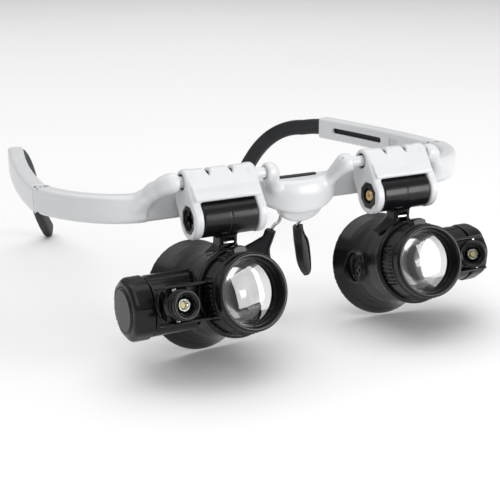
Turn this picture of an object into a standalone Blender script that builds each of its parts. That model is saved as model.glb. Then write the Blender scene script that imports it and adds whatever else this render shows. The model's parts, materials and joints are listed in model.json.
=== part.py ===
"""Head visor magnifier: spectacle frame with two flip-up loupes, swivelling lamps and ear hooks.

Lengths below are millimetres and become metres when a mesh is made. The datum is the point
between the two loupe hinge barrels: +X is the wearer's left, +Y is backwards, +Z is up.
Each half is drawn once, for the +X side, and mirrored for the other.
"""
import math
from collections import namedtuple

import bmesh
import bpy
from mathutils import Matrix, Vector
from mathutils.geometry import interpolate_bezier

MM = 0.001
GAP = 0.3                      # clear space between pieces that only touch
RUN = 0.1                      # clearance of a shaft that turns in its hole

# The datum above the surface that the magnifier stands on, and ahead of the box's middle.
DATUM_Z = 47.3
DATUM_Y = -70.75

# Frame
BAND_LOW, BAND_HIGH = -2.0, 7.0
BAND_THICK = 5.5
WALL_FRONT, WALL_THICK = 10.5, 2.7
# half-stations from the middle outwards: x, front y, depth, lowest z, highest z
BRIDGE = [(0.0, 5.2, 7.2, -4.5, 6.2), (5.0, 5.5, 6.9, -4.3, 6.3), (8.5, 6.6, 5.9, -3.6, 6.5),
          (11.0, 8.6, 4.3, -2.6, 6.8), (12.5, WALL_FRONT, WALL_THICK, BAND_LOW, BAND_HIGH),
          (53.5, WALL_FRONT, WALL_THICK, BAND_LOW, BAND_HIGH)]
WRAP = [(55.0, 9.6), (67.5, 9.6), (79.8, 25.5), (82.1, 39.3)]      # control points, outer face
HINGE_DROP = 0.6               # how much lower the band is at the temple
LIP = [(8.0, -2.0), (6.5, -7.0), (2.5, -8.5)]                      # x, z below the bridge
LIP_FRONT, LIP_BACK = 7.8, 12.0
INNER_HORN = [(6.5, 8.6, 3.6, 2.6), (9.0, 8.0, 5.6, 3.1), (11.2, 6.4, 8.6, 3.5),
              (13.4, 4.9, 10.7, 3.5), (14.6, 4.7, 11.0, 3.4), (16.4, 4.7, 11.0, 3.2)]      # x, y, z, radius
OUTER_HORN = [(57.5, 11.8, 4.0, 2.4), (54.8, 10.4, 5.8, 3.1), (52.2, 7.9, 8.8, 3.5),
              (49.6, 5.2, 10.7, 3.5), (48.2, 4.7, 11.0, 3.4), (46.4, 4.7, 11.0, 3.2)]

# Flip pivot of the lens brackets
PIVOT_Y, PIVOT_Z = 4.7, 11.0
PIN_R = 1.8
PIN_SPAN = (13.2, 48.6)
BUSH_R = 2.5
BUSH_SPAN = (21.3, 44.8)
BRACKET_SPAN = (20.6, 45.5)
CHEEK = 3.0
KNUCKLE_R = 3.8
CHEEK_LOBES = [(PIVOT_Y, PIVOT_Z, KNUCKLE_R), (5.4, 5.4, 4.1), (0.0, 0.0, 6.3)]   # y, z, radius
APRON_LOBES = [(PIVOT_Y, PIVOT_Z, KNUCKLE_R - 0.15), (-3.0, 6.9, 0.9)]
NOTCHES = (29.0, 37.1)

# Loupe hinge
BARREL_R = 6.0
AXLE_R = 2.5
OCTAGON_R = 4.5
SCREW_HEAD_R, SCREW_R = 1.7, 0.9
NECK_X = 33.0
NECK = [(-4.5, 3.2, -3.3, 2.3), (-8.0, 3.1, -3.3, 2.0), (-10.0, 3.9, -4.4, 3.0),
        (-14.0, 4.8, -6.0, 4.6)]                                   # z, half width, front y, back y
NECK_SLOT = (1.7, -1.4, -9.6, -6.7)                                # half width, back y, low z, high z
ARM_PIN = (0.85, 2.7, -2.3, -8.1)                                  # radius, half length, y, z

# Loupe: place of the front rim, tilt and toe-in of the optical axis; profiles are (depth, radius)
LOUPE_AT = (32.75, -20.2, -19.1)
LOUPE_TILT, LOUPE_TOE = 17.3, 5.8
LENS_RING = [(0.0, 10.7), (0.0, 11.7), (0.4, 12.1), (3.5, 12.1), (3.8, 12.8), (9.9, 12.8),
             (9.9, 10.75), (4.4, 10.75), (4.4, 9.8), (3.4, 9.8), (1.0, 10.3)]
LENS_R, LENS_FRONT, LENS_EDGE, LENS_BULGE = 10.45, 5.1, 1.0, 3.2
RETAINER = [(7.05, 9.4), (7.05, 10.45), (8.3, 10.45), (8.3, 9.4)]
EYECUP_OUT = [(8.6, 10.63), (10.2, 10.63), (10.2, 14.0), (12.6, 14.0), (12.8, 13.2),
              (26.0, 14.0), (31.0, 15.5), (34.0, 16.8), (36.8, 18.1)]
EYECUP_IN = [(36.8, 16.9), (31.0, 14.2), (26.0, 12.6), (12.8, 11.6), (8.6, 9.4)]
LOUPE_CLEAR = [(-4.0, 13.5), (10.0, 13.5), (10.0, 14.3), (12.9, 14.3), (12.9, 13.5),
               (26.0, 14.3), (31.0, 15.8), (36.8, 18.4), (40.0, 20.0)]
VENT_DEPTH, VENT_R, VENT_HOLE_R = 27.0, 4.75, 0.6
VENT_SPAN = (12.3, 14.3)       # distance from the optical axis

# Battery tube and lamp, in a frame on the tube's axis, tilted like the loupe
TUBE_Y, TUBE_Z = 0.5, -25.9
TUBE_R = 9.5
TUBE_SPAN = (43.3, 60.2)
SPIGOT_R, SPIGOT_END = 7.6, 64.6
CHAMBER_R, CHAMBER_FLOOR = 6.1, 56.9
# lamp housing: boss across the tube's front with a round outer end, and a brow above and below
BOSS_START, BOSS_FRONT, BOSS_HALF = 43.6, -13.0, 5.6
COLLAR_R, COLLAR_BACK = 5.4, -10.4
BROW_LOW, BROW_HIGH = 5.05, 5.9
BROW = [(43.9, BOSS_FRONT + 1), (43.9, -17.3), (56.5, -17.3), (59.6, -16.2), (61.4, -13.8),
        (61.4, BOSS_FRONT + 1)]                                    # x, y
CAP = [(65.3, 7.75), (60.5, 7.75), (60.5, 9.7), (60.9, 10.0), (65.6, 10.0), (67.0, 9.6), (67.8, 8.6)]
CELL_R, CELL_THICK, CELLS_AT = 5.8, 3.0, (58.6, 61.9)
SPRING = (57.45, 58.25, 4.2, 2.6, 2.0, 0.17)         # from x, to x, radii, turns, wire radius
LAMP_X, LAMP_Y, LAMP_Z, LAMP_REACH = 55.9, -15.0, 0.0, 6.8
LAMP_SWIVEL = {1: 42.0, -1: 6.0}                     # how far each lamp is turned inwards
LAMP_HEAD = [(5.2, 2.7), (1.2, 2.7), (0.0, 3.6), (0.0, 4.5), (1.6, 4.5), (1.6, 4.2), (2.0, 4.2),
             (2.0, 4.7), (3.0, 4.7), (3.0, 4.3), (3.4, 4.3), (3.4, 4.75), (4.4, 4.75), (4.4, 3.7),
             (5.6, 4.25), (6.8, 4.4), (8.2, 4.15), (9.6, 3.35), (10.7, 1.9)]
LAMP_BULB = [(0.2, 0.7), (0.6, 1.6), (1.3, 2.2), (2.2, 2.4), (4.6, 2.4)]
POCKET_R, POCKET_HALF = 4.75, 4.85
LAMP_PIN_R, LAMP_PIN_SPAN = 0.8, (3.4, 5.6)

# Temples
FOLD_AT = (78.5, 39.6)
KNUCKLE = 2.3
TONGUE = (0.5, 2.9)            # z range of the temple's middle knuckle
HINGE_SCREW = [(-2.0, 0.8), (5.0, 0.8), (5.0, 1.4), (5.8, 1.4)]    # z, radius
SLEEVE = [(82.1, 39.6), (81.6, 61.0), (77.2, 84.0), (71.45, 106.1)]  # control points, outer face
SLEEVE_LOW, SLEEVE_HIGH, SLEEVE_THICK = -3.0, 6.0, 5.8
STEM_TOE = 11.3                # angle of the sliding stem
STEM_THICK, STEM_LOW, STEM_HIGH = 2.4, -0.9, 4.0
STEM_INSIDE, CAVITY = 37.0, 51.0
SLOT = (8.5, 37.0, 0.5, 2.6)   # distance before the sleeve's end, z range
HOOK_TOE = 30.5
HOOK_THICK, HOOK_HIGH = 4.2, 6.6
HOOK_CURVES = [[(0.0, 1.6), (4.5, 1.3), (8.0, 0.7), (12.2, -0.3)],
               [(12.2, -0.3), (30.2, -1.5), (38.7, -15.0), (44.4, -25.8)],
               [(44.4, -25.8), (48.7, -33.0), (58.2, -41.3), (65.7, -46.3)]]      # run, z

# Nose rest
CARRIER = [(-9.5, 6.4), (9.5, 6.4), (9.5, -1.0), (6.0, -5.4), (-6.0, -5.4), (-9.5, -1.0)]
CARRIER_SPAN = (12.7, 15.9)
WIRE = [(4.6, 14.3, -3.2), (4.6, 14.3, -7.0), (4.7, 15.6, -9.6), (4.9, 18.4, -11.6),
        (5.3, 19.9, -14.0), (5.9, 20.1, -17.2)]
WIRE_R = 0.6
PAD = [(5.2, 19.8, -13.6, 3.6, 3.2), (6.0, 20.6, -16.6, 5.4, 3.4), (7.4, 22.2, -19.6, 9.6, 3.4),
       (9.0, 23.2, -23.6, 12.0, 3.4), (10.2, 23.6, -27.6, 11.4, 3.2), (11.0, 23.4, -31.0, 7.6, 2.8),
       (11.3, 23.0, -33.0, 3.4, 2.0)]                              # x, y, z, width, thickness
PAD_YAW = 48.0                 # how far the pad's width is turned from +X

FINISHES = {
    "white": ((0.86, 0.87, 0.88), 0.30, 0.0),
    "black": ((0.012, 0.012, 0.013), 0.28, 0.0),
    "rubber": ((0.03, 0.03, 0.034), 0.65, 0.0),
    "glass": ((0.92, 0.95, 0.97), 0.02, 0.0),
    "steel": ((0.62, 0.62, 0.63), 0.30, 1.0),
    "brass": ((0.72, 0.52, 0.24), 0.30, 1.0),
    "epoxy": ((0.93, 0.93, 0.86), 0.12, 0.0),
}

Joint = namedtuple("Joint", "empty point")
ALONG_X = Matrix.Rotation(math.radians(-90), 4, "Z")
UPRIGHT = Matrix.Rotation(math.radians(90), 4, "X")
TILTED = Matrix.Rotation(math.radians(-LOUPE_TILT), 4, "X")
LOUPE = Matrix.Translation(LOUPE_AT) @ Matrix.Rotation(math.radians(-LOUPE_TOE), 4, "Z") @ TILTED
LAMP = Matrix.Translation((0.0, TUBE_Y, TUBE_Z)) @ TILTED
TUBE = LAMP @ ALONG_X


def moved(x=0.0, y=0.0, z=0.0):
    return Matrix.Translation((x, y, z))


# ---------------------------------------------------------------- solids
def loft(loops, ring=False):
    """Skin loops of equally many points; a ring joins the last loop to the first."""
    mesh = bmesh.new()
    rows = [[mesh.verts.new(point) for point in loop] for loop in loops]
    for i in range(len(rows) if ring else len(rows) - 1):
        row, following = rows[i], rows[(i + 1) % len(rows)]
        for j in range(len(row)):
            k = (j + 1) % len(row)
            mesh.faces.new((row[j], row[k], following[k], following[j]))
    if not ring:
        mesh.faces.new(rows[0])
        mesh.faces.new(rows[-1])
    bmesh.ops.recalc_face_normals(mesh, faces=mesh.faces)
    return mesh


def spot(depth, radius, turn):
    """A point of a turned solid, whose axis is +Y."""
    return Vector((radius * math.cos(turn), depth, radius * math.sin(turn)))


def turns(sides):
    return [2 * math.pi * (i + 0.5) / sides for i in range(sides)]


def solid(profile, place, sides=20):
    """Turn an open profile of (depth, radius); flat discs close its two ends."""
    return loft([[place @ spot(d, r, turn) for turn in turns(sides)] for d, r in profile])


def hollow(profile, place, sides=32):
    """Turn a closed profile of (depth, radius) into a ring."""
    return loft([[place @ spot(d, r, turn) for d, r in profile] for turn in turns(sides)], ring=True)


def rod(radius, start, end, place, sides=20):
    return solid([(start, radius), (end, radius)], place, sides)


def hull(points):
    """The convex solid round a set of points."""
    mesh = bmesh.new()
    for point in points:
        mesh.verts.new(point)
    result = bmesh.ops.convex_hull(mesh, input=mesh.verts)
    bmesh.ops.delete(mesh, geom=list(set(result["geom_unused"] + result["geom_interior"])),
                     context="VERTS")
    bmesh.ops.recalc_face_normals(mesh, faces=mesh.faces)
    return mesh


def block(low, high, place=Matrix()):
    corners = [(x, y, z) for x in (low[0], high[0]) for y in (low[1], high[1])
               for z in (low[2], high[2])]
    return hull([place @ Vector(corner) for corner in corners])


def slab(lobes, start, end, sides=20):
    """A plate from x=start to x=end round discs given as (y, z, radius)."""
    return hull([(x, y + r * math.cos(turn), z + r * math.sin(turn))
                 for y, z, r in lobes for turn in turns(sides) for x in (start, end)])


def rounded(width, low, high, radius, steps=2):
    """A rounded rectangle of (across, up), across from 0 to width."""
    points = []
    corners = [(width - radius, high - radius, 0), (radius, high - radius, 90),
               (radius, low + radius, 180), (width - radius, low + radius, 270)]
    for across, up, start in corners:
        for i in range(steps):
            turn = math.radians(start + 90 * i / (steps - 1))
            points.append((across + radius * math.cos(turn), up + radius * math.sin(turn)))
    return points


def sweep(path, sections, sideways):
    """Carry sections of (across, up) along a path; sideways is the across direction, or one each."""
    loops = []
    for i, point in enumerate(path):
        ahead = path[min(i + 1, len(path) - 1)] - path[max(i - 1, 0)]
        ahead.normalize()
        across = Vector(sideways[i] if isinstance(sideways, list) else sideways)
        across = (across - ahead * across.dot(ahead)).normalized()
        up = ahead.cross(across)
        loops.append([point + across * u + up * v for u, v in sections[i]])
    return loft(loops)


def round_section(radius, sides=12):
    return [(radius * math.cos(turn), radius * math.sin(turn)) for turn in turns(sides)]


def bezier(points, count):
    """Points of a cubic curve and its tangents, from four control points of any size."""
    padded = [Vector(tuple(p) + (0.0,) * (3 - len(p))) for p in points]
    spots = interpolate_bezier(*padded, count)
    tangents = [spots[min(i + 1, count - 1)] - spots[max(i - 1, 0)] for i in range(count)]
    return spots, [tangent.normalized() for tangent in tangents]


# ---------------------------------------------------------------- objects
def finish(name, kind):
    colour, roughness, metallic = FINISHES[kind]
    material = bpy.data.materials.new(name)
    material.use_nodes = True
    shader = material.node_tree.nodes["Principled BSDF"]
    shader.inputs["Base Color"].default_value = (*colour, 1.0)
    shader.inputs["Roughness"].default_value = roughness
    shader.inputs["Metallic"].default_value = metallic
    if kind == "glass":
        shader.inputs["Transmission Weight"].default_value = 1.0
    return material


def add_object(name, side, mesh, joint):
    """Put a solid, drawn for the +X side about the datum, under its joint's empty."""
    if side < 0:
        bmesh.ops.scale(mesh, vec=(-1, 1, 1), verts=mesh.verts)
        bmesh.ops.reverse_faces(mesh, faces=mesh.faces)
    bmesh.ops.translate(mesh, vec=-joint.point, verts=mesh.verts)
    bmesh.ops.scale(mesh, vec=(MM, MM, MM), verts=mesh.verts)
    data = bpy.data.meshes.new(name)
    mesh.to_mesh(data)
    mesh.free()
    data.shade_smooth()
    data.set_sharp_from_angle(angle=math.radians(35))
    thing = bpy.data.objects.new(name, data)
    bpy.context.collection.objects.link(thing)
    thing.parent = joint.empty
    return thing


def side_name(side, name):
    return f"{'left' if side > 0 else 'right'}_{name}" if side else name


def node(name, kind, mesh, joint, side=0, adds=(), cuts=()):
    """One named piece: a solid, with others joined to it and others cut out of it."""
    title = side_name(side, name)
    thing = add_object(title, side, mesh, joint)
    thing.data.materials.append(finish(title, kind))
    add_tools(thing, "UNION", adds, joint, side)
    add_tools(thing, "DIFFERENCE", cuts, joint, side)
    return thing


def add_tools(thing, operation, tools, joint, side=0, label=""):
    """Join hidden tools to a piece, or cut them out of it, one modifier each."""
    for i, tool in enumerate(tools):
        guide = add_object(f"{thing.name}_{label or operation.lower()}_{i}", side, tool, joint)
        guide.hide_render = True
        guide.display_type = "WIRE"
        modifier = thing.modifiers.new(guide.name, "BOOLEAN")
        modifier.operation = operation
        modifier.solver = "EXACT"
        modifier.object = guide


def joint_at(name, point, parent=None, side=0):
    """An empty on a joint's axis; the point is about the datum, for the +X side."""
    place = Vector((point[0] * (side or 1), point[1], point[2]))
    empty = bpy.data.objects.new(side_name(side, name), None)
    bpy.context.collection.objects.link(empty)
    if parent:
        empty.parent = parent.empty
        empty.location = (place - parent.point) * MM
    return Joint(empty, place)


# ---------------------------------------------------------------- frame
def station(x, y, inward, depth, low, high):
    """A rounded cross-section of the frame, from its outer face at x, y."""
    return [Vector((x + inward[0] * u, y + inward[1] * u, z))
            for u, z in rounded(depth, low, high, min(1.3, 0.45 * depth))]


def frame_half():
    half = [station(x, y, (0, 1), depth, low, high) for x, y, depth, low, high in BRIDGE]
    spots, tangents = bezier(WRAP, 8)
    for i, (point, tangent) in enumerate(zip(spots, tangents)):
        drop = HINGE_DROP * i / (len(spots) - 1)
        half.append(station(point.x, point.y, (-tangent.y, tangent.x), BAND_THICK,
                            BAND_LOW - drop, BAND_HIGH - drop))
    return half


def mirror_points(points):
    return [Vector((-p[0], p[1], p[2])) for p in points]


def horn(spots, side):
    path = [Vector((x * side, y, z)) for x, y, z, _ in spots]
    return sweep(path, [round_section(r) for *_, r in spots], (0, 1, 0))


def hinge_gap(low_y, high_y):
    """The space cleared on the inner side of the temple hinge."""
    return block((70.0, low_y, -9.0), (FOLD_AT[0] + KNUCKLE + GAP, high_y, 12.0))


def hinge_tab(low, high, reach):
    """A knuckle about the fold axis, with a neck reaching forwards or backwards."""
    x, y = FOLD_AT
    ends = [(x - KNUCKLE, y + reach), (x + KNUCKLE, y + reach)]
    disc = [(x + KNUCKLE * math.cos(turn), y + KNUCKLE * math.sin(turn)) for turn in turns(24)]
    return hull([(px, py, z) for px, py in disc + ends for z in (low, high)])


def both(maker):
    """A solid for each side, the second one mirrored."""
    pair = [maker(), maker()]
    bmesh.ops.scale(pair[1], vec=(-1, 1, 1), verts=pair[1].verts)
    bmesh.ops.reverse_faces(pair[1], faces=pair[1].faces)
    return pair


def fold_axis():
    return moved(*FOLD_AT) @ UPRIGHT


def screw_space():
    return solid([(z + (GAP if i == 3 else -GAP), r + GAP) for i, (z, r) in enumerate(HINGE_SCREW)],
                 fold_axis(), 16)


def pin_axis():
    return moved(0, PIVOT_Y, PIVOT_Z) @ ALONG_X


def build_frame(root):
    half = frame_half()
    loops = [mirror_points(loop) for loop in reversed(half[1:])] + half
    lip = hull([(x * side, y, z) for x, z in LIP for side in (1, -1) for y in (LIP_FRONT, LIP_BACK)])
    low, high = BAND_LOW - HINGE_DROP + GAP, BAND_HIGH - HINGE_DROP - GAP
    adds = [lip]
    adds += [horn(spots, side) for spots in (INNER_HORN, OUTER_HORN) for side in (1, -1)]
    cuts = both(lambda: hinge_gap(FOLD_AT[1] - KNUCKLE - 2 * GAP, 60.0))
    cuts += both(lambda: rod(PIN_R + GAP, PIN_SPAN[0] - GAP, PIN_SPAN[1] + GAP, pin_axis()))
    frame = node("front_frame", "white", loft(loops), root, adds=adds, cuts=cuts)
    tabs = both(lambda: hinge_tab(low, TONGUE[0] - GAP, -4.5))
    tabs += both(lambda: hinge_tab(TONGUE[1] + GAP, high, -4.5))
    add_tools(frame, "UNION", tabs, root, label="tab")
    add_tools(frame, "DIFFERENCE", both(screw_space), root, label="screw")


# ---------------------------------------------------------------- nose rest
def wire_path():
    return [Vector(point) for point in WIRE]


def wire(radius):
    path = wire_path()
    return sweep(path, [round_section(radius, 10)] * len(path), (1, 0, 0))


def pad_section(width, thick):
    return [(0.5 * width * math.cos(turn), 0.5 * thick * math.sin(turn)) for turn in turns(20)]


def nose_pad():
    yaw = math.radians(PAD_YAW)
    path = [Vector((x, y, z)) for x, y, z, _, _ in PAD]
    return sweep(path, [pad_section(w, t) for *_, w, t in PAD], (math.cos(yaw), math.sin(yaw), 0))


def build_nose_rest(root):
    carrier = hull([(x, y, z) for x, z in CARRIER for y in CARRIER_SPAN])
    node("nose_pad_carrier", "black", carrier, root, cuts=both(lambda: wire(WIRE_R + GAP)))
    for side in (1, -1):
        node("nose_pad_wire", "steel", wire(WIRE_R), root, side)
        node("nose_pad", "rubber", nose_pad(), root, side, cuts=[wire(WIRE_R + GAP)])


# ---------------------------------------------------------------- lens bracket
def build_pivot(root, slide, side):
    node("pivot_pin", "white", rod(PIN_R, *PIN_SPAN, pin_axis()), root, side)
    ring = [(BUSH_SPAN[0], PIN_R + RUN), (BUSH_SPAN[0], BUSH_R),
            (BUSH_SPAN[1], BUSH_R), (BUSH_SPAN[1], PIN_R + RUN)]
    node("pivot_bushing", "black", hollow(ring, pin_axis()), slide, side)


def octagon(radius, start, end):
    return rod(radius, start, end, ALONG_X, 8)


def build_bracket(flip, side):
    inner, outer = BRACKET_SPAN
    apron = slab(APRON_LOBES, inner + 0.5 * CHEEK, outer - 0.5 * CHEEK)
    cheeks = [slab(CHEEK_LOBES, inner, inner + CHEEK), slab(CHEEK_LOBES, outer - CHEEK, outer)]
    room = rod(BARREL_R + GAP + RUN, inner + CHEEK, outer - CHEEK, ALONG_X, 32)
    bore = rod(BUSH_R + RUN, inner - 1, outer + 1, pin_axis())
    eyes = [octagon(OCTAGON_R + GAP, inner - 1, inner + CHEEK + 1),
            octagon(OCTAGON_R + GAP, outer - CHEEK - 1, outer + 1)]
    notches = [hull([(x + dx, y, z) for dx, z in ((-0.9, 16.0), (0.9, 16.0), (0.0, 13.7))
                     for y in (-2.0, 12.0)]) for x in NOTCHES]
    node("lens_bracket", "white", apron, flip, side, adds=cheeks, cuts=[room, bore] + eyes + notches)


def build_axle(flip, side):
    inner, outer = BRACKET_SPAN
    barrel_start, barrel_end = inner + CHEEK + GAP, outer - CHEEK - GAP
    shaft = rod(AXLE_R, barrel_start + GAP, outer - CHEEK, ALONG_X)
    head = octagon(OCTAGON_R, outer - CHEEK, outer - GAP)
    key = rod(2.0, outer - 1.6, outer + 1, ALONG_X, 6)
    thread = rod(SCREW_R + GAP, inner, inner + 9.0, ALONG_X)
    node("hinge_axle", "black", head, flip, side, adds=[shaft], cuts=[key, thread])
    cap = octagon(OCTAGON_R, inner + GAP, barrel_start)
    seat = solid([(inner - 1, SCREW_HEAD_R + GAP), (inner + 1.6, SCREW_HEAD_R + GAP),
                  (inner + 1.6, SCREW_R + GAP), (inner + 5.0, SCREW_R + GAP)], ALONG_X, 16)
    node("axle_cap", "black", cap, flip, side, cuts=[seat])
    screw = solid([(inner + 0.5, SCREW_HEAD_R), (inner + 1.3, SCREW_HEAD_R), (inner + 1.3, SCREW_R),
                   (inner + 8.5, SCREW_R)], ALONG_X, 16)
    drive = block((inner - 1, -0.25, -2.0), (inner + 0.95, 0.25, 2.0))
    node("axle_screw", "brass", screw, flip, side, cuts=[drive])


# ---------------------------------------------------------------- loupe
def loupe_space():
    return solid(LOUPE_CLEAR, LOUPE, 32)


def build_tilt_arm(tilt, side):
    inner, outer = BRACKET_SPAN
    start, end = inner + CHEEK + GAP, outer - CHEEK - GAP
    neck = loft([[Vector((NECK_X - half, front, z)), Vector((NECK_X + half, front, z)),
                  Vector((NECK_X + half, back, z)), Vector((NECK_X - half, back, z))]
                 for z, half, front, back in NECK])
    half, back, low, high = NECK_SLOT
    slot = block((NECK_X - half, -9.0, low), (NECK_X + half, back, high))
    radius, reach, y, z = ARM_PIN
    across = moved(NECK_X, y, z) @ ALONG_X
    bore = rod(AXLE_R + RUN, start - 1, end + 1, ALONG_X)
    node("tilt_arm", "black", rod(BARREL_R, start, end, ALONG_X, 32), tilt, side, adds=[neck],
         cuts=[bore, loupe_space(), slot, rod(radius + GAP, -reach - GAP, reach + GAP, across, 16)])
    node("arm_pin", "steel", rod(radius, -reach, reach, across, 16), tilt, side)


def vent_axis():
    """+Y points from the optical axis to the nose side."""
    return LOUPE @ moved(0, VENT_DEPTH, 0) @ Matrix.Rotation(math.radians(90), 4, "Z")


def vent_holes():
    spots = [(0.0, 0.0)] + [(2.5 * math.cos(turn), 2.5 * math.sin(turn)) for turn in turns(6)]
    return [rod(VENT_HOLE_R, 8.0, 20.0, vent_axis() @ moved(x, 0, z), 8) for x, z in spots]


def build_eyecup(tilt, side):
    body = hollow(EYECUP_OUT + EYECUP_IN, LOUPE)
    node("eyecup", "black", body, tilt, side, cuts=[rod(VENT_R + GAP, 8.0, 20.0, vent_axis(), 24)])
    node("vent_plug", "black", rod(VENT_R, *VENT_SPAN, vent_axis(), 24), tilt, side,
         cuts=vent_holes())


def lens_profile():
    """Front face, edge and back face of a biconvex lens, from pole to pole."""
    curve = (LENS_R ** 2 + LENS_BULGE ** 2) / (2 * LENS_BULGE)
    radii = [LENS_R * share for share in (0.2, 0.45, 0.7, 0.87, 1.0)]
    rises = [math.sqrt(curve ** 2 - r * r) - curve + LENS_BULGE for r in radii]
    front = [(LENS_FRONT - rise, r) for rise, r in zip(rises, radii)]
    back = [(LENS_FRONT + LENS_EDGE + rise, r) for rise, r in zip(rises, radii)]
    return front + back[::-1]


def build_lens(turn, side):
    node("lens_ring", "black", hollow(LENS_RING, LOUPE), turn, side)
    node("lens", "glass", solid(lens_profile(), LOUPE, 32), turn, side)
    node("lens_retainer", "black", hollow(RETAINER, LOUPE), turn, side)


# ---------------------------------------------------------------- lamp and battery
def lamp_axis(side):
    """+Y runs backwards along the lamp from its front rim."""
    swivel = Matrix.Rotation(math.radians(-LAMP_SWIVEL[side]), 4, "Z")
    return LAMP @ moved(LAMP_X, LAMP_Y, LAMP_Z) @ swivel @ moved(0, -LAMP_REACH)


def lamp_stubs(radius, low, high):
    """Pivot stubs above and below the lamp."""
    at = LAMP @ moved(LAMP_X, LAMP_Y, LAMP_Z) @ UPRIGHT
    return [rod(radius, low, high, at, 12), rod(radius, -high, -low, at, 12)]


def contact_coil():
    start, end, wide, narrow, count, wire_r = SPRING
    steps = int(12 * count)
    path = []
    for i in range(steps + 1):
        part = i / steps
        path.append(TUBE @ spot(start + (end - start) * part, wide + (narrow - wide) * part,
                                2 * math.pi * count * part))
    return sweep(path, [round_section(wire_r, 6)] * len(path), (1, 0, 0))


def lamp_housing():
    """The boss that carries the lamp, with its round outer end and two brows."""
    boss = block((BOSS_START, BOSS_FRONT, -BOSS_HALF), (LAMP_X, 0.0, BOSS_HALF), LAMP)
    collar = rod(COLLAR_R, BOSS_FRONT, COLLAR_BACK, LAMP @ moved(LAMP_X), 32)
    brows = [hull([LAMP @ Vector((x, y, z * up)) for x, y in BROW for z in (BROW_LOW, BROW_HIGH)])
             for up in (1, -1)]
    return [boss, collar] + brows


def build_battery(tilt, twist, side):
    tube = solid([(TUBE_SPAN[0], TUBE_R), (TUBE_SPAN[1], TUBE_R), (TUBE_SPAN[1], SPIGOT_R),
                  (SPIGOT_END, SPIGOT_R)], TUBE, 28)
    pocket = rod(POCKET_R, -POCKET_HALF, POCKET_HALF, LAMP @ moved(LAMP_X, LAMP_Y, LAMP_Z) @ UPRIGHT, 32)
    chamber = rod(CHAMBER_R, CHAMBER_FLOOR, SPIGOT_END + 1, TUBE)
    stubs = lamp_stubs(LAMP_PIN_R + GAP, POCKET_HALF - 0.5, LAMP_PIN_SPAN[1] + GAP)
    node("battery_tube", "black", tube, tilt, side, adds=lamp_housing(),
         cuts=[loupe_space(), pocket, chamber] + stubs)
    for name, x in zip(("inner_cell", "outer_cell"), CELLS_AT):
        cell = solid([(x, CELL_R - 0.3), (x + 0.3, CELL_R), (x + CELL_THICK, CELL_R)], TUBE)
        node(name, "steel", cell, tilt, side)
    node("contact_spring", "steel", contact_coil(), tilt, side)
    node("battery_cap", "black", solid(CAP, TUBE, 28), twist, side)


def build_lamp(tilt, swivel, side):
    axis = lamp_axis(side)
    node("lamp_head", "black", solid(LAMP_HEAD, axis), swivel, side,
         cuts=lamp_stubs(LAMP_PIN_R + RUN, LAMP_PIN_SPAN[0] - GAP, LAMP_PIN_SPAN[1]))
    node("lamp_bulb", "epoxy", solid(LAMP_BULB, axis), swivel, side)
    for name, stub in zip(("upper_lamp_pivot", "lower_lamp_pivot"),
                          lamp_stubs(LAMP_PIN_R, *LAMP_PIN_SPAN)):
        node(name, "steel", stub, tilt, side)


# ---------------------------------------------------------------- temples
def sleeve_end():
    """The middle of the sleeve's open end, and the stem's forward direction."""
    toe = math.radians(STEM_TOE)
    back = Vector((-math.sin(toe), math.cos(toe), 0))
    return Vector((SLEEVE[3][0] - 0.5 * SLEEVE_THICK + 0.2, SLEEVE[3][1], 0)), back


def stem_box(thick, low, high, start, end):
    """A bar along the stem, between two distances from the sleeve's end."""
    middle, back = sleeve_end()
    across = Vector((back.y, -back.x, 0))
    return hull([middle + back * run + across * side * 0.5 * thick + Vector((0, 0, z))
                 for run in (start, end) for side in (1, -1) for z in (low, high)])


def slot_box():
    """The window in the sleeve's inner face."""
    near, far, low, high = SLOT
    middle, back = sleeve_end()
    across = Vector((back.y, -back.x, 0))
    return hull([middle - back * run - across * side + Vector((0, 0, z))
                 for run in (near, far) for side in (0.0, 6.0) for z in (low, high)])


def build_sleeve(fold, side):
    spots, tangents = bezier(SLEEVE, 6)
    loops = [station(p.x, p.y, (-t.y, t.x), SLEEVE_THICK, SLEEVE_LOW, SLEEVE_HIGH)
             for p, t in zip(spots, tangents)]
    cavity = stem_box(STEM_THICK + 2 * RUN, STEM_LOW - RUN, STEM_HIGH + RUN, -CAVITY, 5.0)
    sleeve = node("temple_sleeve", "white", loft(loops), fold, side,
                  cuts=[hinge_gap(30.0, FOLD_AT[1] + KNUCKLE + 2 * GAP), cavity, slot_box()])
    bore = rod(HINGE_SCREW[0][1] + RUN, -9, 12, fold_axis(), 16)
    add_tools(sleeve, "UNION", [hinge_tab(*TONGUE, 4.5)], fold, side, "tongue")
    add_tools(sleeve, "DIFFERENCE", [bore], fold, side, "bore")


def heading(run):
    """The hook's plan direction, in radians inwards, after a run from the sleeve's end."""
    part = min(max(run / 25.0, 0.0), 1.0)
    return math.radians(STEM_TOE + (HOOK_TOE - STEM_TOE) * part * part * (3 - 2 * part))


def hook_line():
    """Run and height along the hook, from the curves."""
    line = []
    for curve in HOOK_CURVES:
        spots, _ = bezier(curve, 6)
        line += [(p.x, p.y) for p in spots][1 if line else 0:]
    return line


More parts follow.
